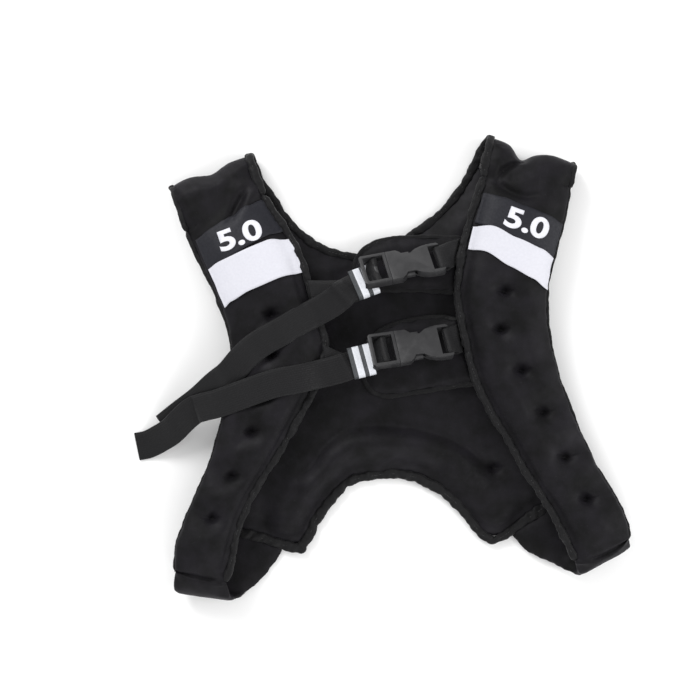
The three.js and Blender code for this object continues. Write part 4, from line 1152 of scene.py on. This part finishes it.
def add_keeper(end):
    """An elastic loop with two reflective stripes woven into its face."""
    half = Vector((KEEPER_LENGTH / 2, 0, 0)) * MM
    matrix = (keeper_matrix(end) @ Matrix.Translation((KEEPER_SLIP[end] * MM, 0, 0))
              @ Matrix.Translation(-half)
              @ Matrix.Rotation(math.radians(KEEPER_SKEW), 4, "Z") @ Matrix.Translation(half))
    profile, steps = keeper_profile(), keeper_steps()
    shape = bmesh.new()
    layer = shape.loops.layers.uv.new("UVMap")
    rings = []
    for x in steps:
        ring = []
        for y, z in profile:
            puff = KEEPER_PUFF * noise.noise(Vector((x * 0.25, y * 0.12, z)))
            grow = 1 + ((STRIPE_RISE if on_stripe(x) else 0) + puff) / (KEEPER_HEIGHT / 2)
            ring.append(shape.verts.new(matrix @ (Vector((x, y, z * grow)) * MM)))
        rings.append(ring)
    for k, (low, high) in enumerate(zip(rings, rings[1:])):
        striped = on_stripe((steps[k] + steps[k + 1]) / 2)
        for n in range(len(profile)):
            after = (n + 1) % len(profile)
            face = shape.faces.new((low[n], low[after], high[after], high[n]))
            face.material_index = 1 if striped else 0
            for loop, (u, v) in zip(face.loops, ((n, k), (n + 1, k), (n + 1, k + 1), (n, k + 1))):
                loop[layer].uv = (steps[v] * MM, u * KEEPER_PITCH)
    bmesh.ops.recalc_face_normals(shape, faces=shape.faces)
    piece = from_bmesh(f"keeper_{end}_loop", shape, ELASTIC, REFLECTIVE)
    thicken(piece, KEEPER_WALL)
    return settle(piece, "keeper", f"keeper_{end}")


# Labels and patches

def wave_at(share, waves):
    """A smooth value between the chosen ones."""
    for (start, low), (stop, high) in zip(waves, waves[1:]):
        if share <= stop:
            t = (share - start) / (stop - start)
            return low + (high - low) * ease(t)
    return waves[-1][1]


CLOTH_THICKNESS = 0.6 * MM
CLOTH_RIPPLE = {"most": 0.35 * MM, "fineness": 70}
CLOTH_STITCH = {"depth": 0.35 * MM, "off": 2 * MM, "width": 0.8 * MM}
CLOTH_CURL_REACH = 3 * MM
CLOTH_TOP = 0.35


def set_in_waves(shape, node):
    """Draws a label or patch longer and moves its edges up or down the panel."""
    turn, longer, low_waves, high_waves = LAY[node]
    run = Vector((math.cos(math.radians(turn)), math.sin(math.radians(turn)), 0))
    up_panel = Vector((-run.y, run.x, 0))
    spread = [vertex.co.dot(run) for vertex in shape.verts]
    first, reach = min(spread), max(spread) - min(spread)
    rises = [vertex.co.dot(up_panel) for vertex in shape.verts]
    lowest, highest = min(rises), max(rises)
    for vertex in shape.verts:
        share = (vertex.co.dot(run) - first) / reach
        up = (vertex.co.dot(up_panel) - lowest) / (highest - lowest)
        wave = wave_at(share, low_waves) * (1 - up) + wave_at(share, high_waves) * up
        vertex.co += up_panel * wave * MM + run * (longer - 1) * share * reach


def add_cloth(node, panel, lift, material, slot, curl):
    """A label or patch sewn on a panel: it follows the padding under it."""
    ground = surface_of(panel)
    shape = merged_copy(node)
    lower = [face for face in shape.faces if face.normal.z < CLOTH_TOP]
    bmesh.ops.delete(shape, geom=lower, context="FACES")
    bmesh.ops.subdivide_edges(shape, edges=shape.edges, cuts=4, use_grid_fill=True)
    rim = [vertex for vertex in shape.verts if vertex.is_boundary]
    tree = KDTree(len(rim))
    for k, vertex in enumerate(rim):
        tree.insert(vertex.co, k)
    tree.balance()
    edge_away = {vertex: tree.find(vertex.co)[2] for vertex in shape.verts}
    set_in_waves(shape, node)
    for vertex in shape.verts:
        near, normal, _, _ = ground.find_nearest(vertex.co)
        if normal.z < 0:
            normal = UP
        away = edge_away[vertex]
        rise = lift + curl * math.exp(-away / CLOTH_CURL_REACH)
        rise += CLOTH_RIPPLE["most"] * noise.noise(vertex.co * CLOTH_RIPPLE["fineness"])
        rise -= CLOTH_STITCH["depth"] * bell(away - CLOTH_STITCH["off"], CLOTH_STITCH["width"])
        vertex.co = near + normal * rise
    bmesh.ops.recalc_face_normals(shape, faces=shape.faces)
    face_up(shape)
    piece = from_bmesh(f"{node}_cloth", shape, material)
    thicken(piece, CLOTH_THICKNESS)
    return settle(piece, slot, node)


# The printed number: where its middle lies in millimetres, with its turn in degrees, and its type
NUMBERS = {"left": ((-160, 132), 20), "right": ((126, 144), -20)}
NUMBER_SIZE = 19 * MM * 1.42
NUMBER_BOLDNESS = 0.9 * MM
NUMBER_SPREAD = (1.4, 1.03, 1, 1)
NUMBER_EDGE = 2.5 * MM
NUMBER_LIFT = 0.14 * MM
NUMBER_THICKNESS = 0.12 * MM
PATCH_HEIGHT = 45 * MM


def add_number(side, patch):
    """The weight in kilograms, printed on its patch."""
    (x, y), turn = NUMBERS[side]
    data = bpy.data.curves.new("number", "FONT")
    data.body = "5.0"
    data.size = NUMBER_SIZE
    data.offset = NUMBER_BOLDNESS
    data.align_x = "CENTER"
    data.align_y = "CENTER"
    flat = add_object("flat_number", data)
    bpy.context.view_layer.update()
    graph = bpy.context.evaluated_depsgraph_get()
    mesh = bpy.data.meshes.new_from_object(flat.evaluated_get(graph), depsgraph=graph)
    bpy.data.objects.remove(flat)
    shape = bmesh.new()
    shape.from_mesh(mesh)
    bmesh.ops.triangulate(shape, faces=shape.faces)
    long_edges = [edge for edge in shape.edges if edge.calc_length() > NUMBER_EDGE]
    bmesh.ops.subdivide_edges(shape, edges=long_edges, cuts=3)
    bmesh.ops.triangulate(shape, faces=shape.faces)
    spread = Matrix.Diagonal(NUMBER_SPREAD)
    lie = Matrix.Translation((x * MM, y * MM, 0)) @ Matrix.Rotation(math.radians(turn), 4, "Z")
    bmesh.ops.transform(shape, matrix=lie @ spread, verts=shape.verts)
    ground = surface_of(patch)
    for vertex in shape.verts:
        hit = ground.ray_cast(Vector((vertex.co.x, vertex.co.y, 1)), -UP)[0]
        if hit is None:
            hit = ground.find_nearest(vertex.co + UP * PATCH_HEIGHT)[0]
        vertex.co.z = hit.z + NUMBER_LIFT
    face_up(shape)
    piece = from_bmesh(f"number_{side}", shape, PRINT)
    thicken(piece, NUMBER_THICKNESS)
    return settle(piece, "label")


tapes = {}
for node in sorted(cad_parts):
    if node.startswith(("binding", "flap_border")):
        tapes[node] = add_tape(node)
panels = {}
for side in SIDES:
    panels[side] = add_padding(
        f"front_padding_{side}",
        (f"front_panel_{side}", f"shoulder_{side}", f"side_band_{side}"),
        seams_of(tapes, "binding"), voxel=3.5 * MM, rounds=3,
        tacks=TACKS[side], form=f"front_{side}")
add_padding(
    "back_padding", ("back_panel",), seams_of(tapes, "neckline", "binding_back", "waist"),
    voxel=4.5 * MM, rounds=3, tacks=POCKET_TACKS, form="back")
for end in ENDS:
    add_padding(
        f"flap_padding_{end}", (f"flap_{end}",), seams_of(tapes, f"border_{end}"),
        voxel=3 * MM, rounds=2, cap=1.2 * MM, depth=0.5 * MM)
    for node in (f"strap_{end}", f"socket_web_{end}"):
        add_web(node)
    for node in (f"ladder_{end}", f"socket_{end}"):
        add_moulding(node, end)
    add_keeper(end)
for side in SIDES:
    patch = add_cloth(
        f"weight_patch_{side}", panels[side], 1.0 * MM, PATCH, "patch", curl=0.5 * MM)
    add_cloth(f"label_{side}", panels[side], 1.6 * MM, LABEL, "label", curl=0.4 * MM)
    add_number(side, patch)

add_stage()
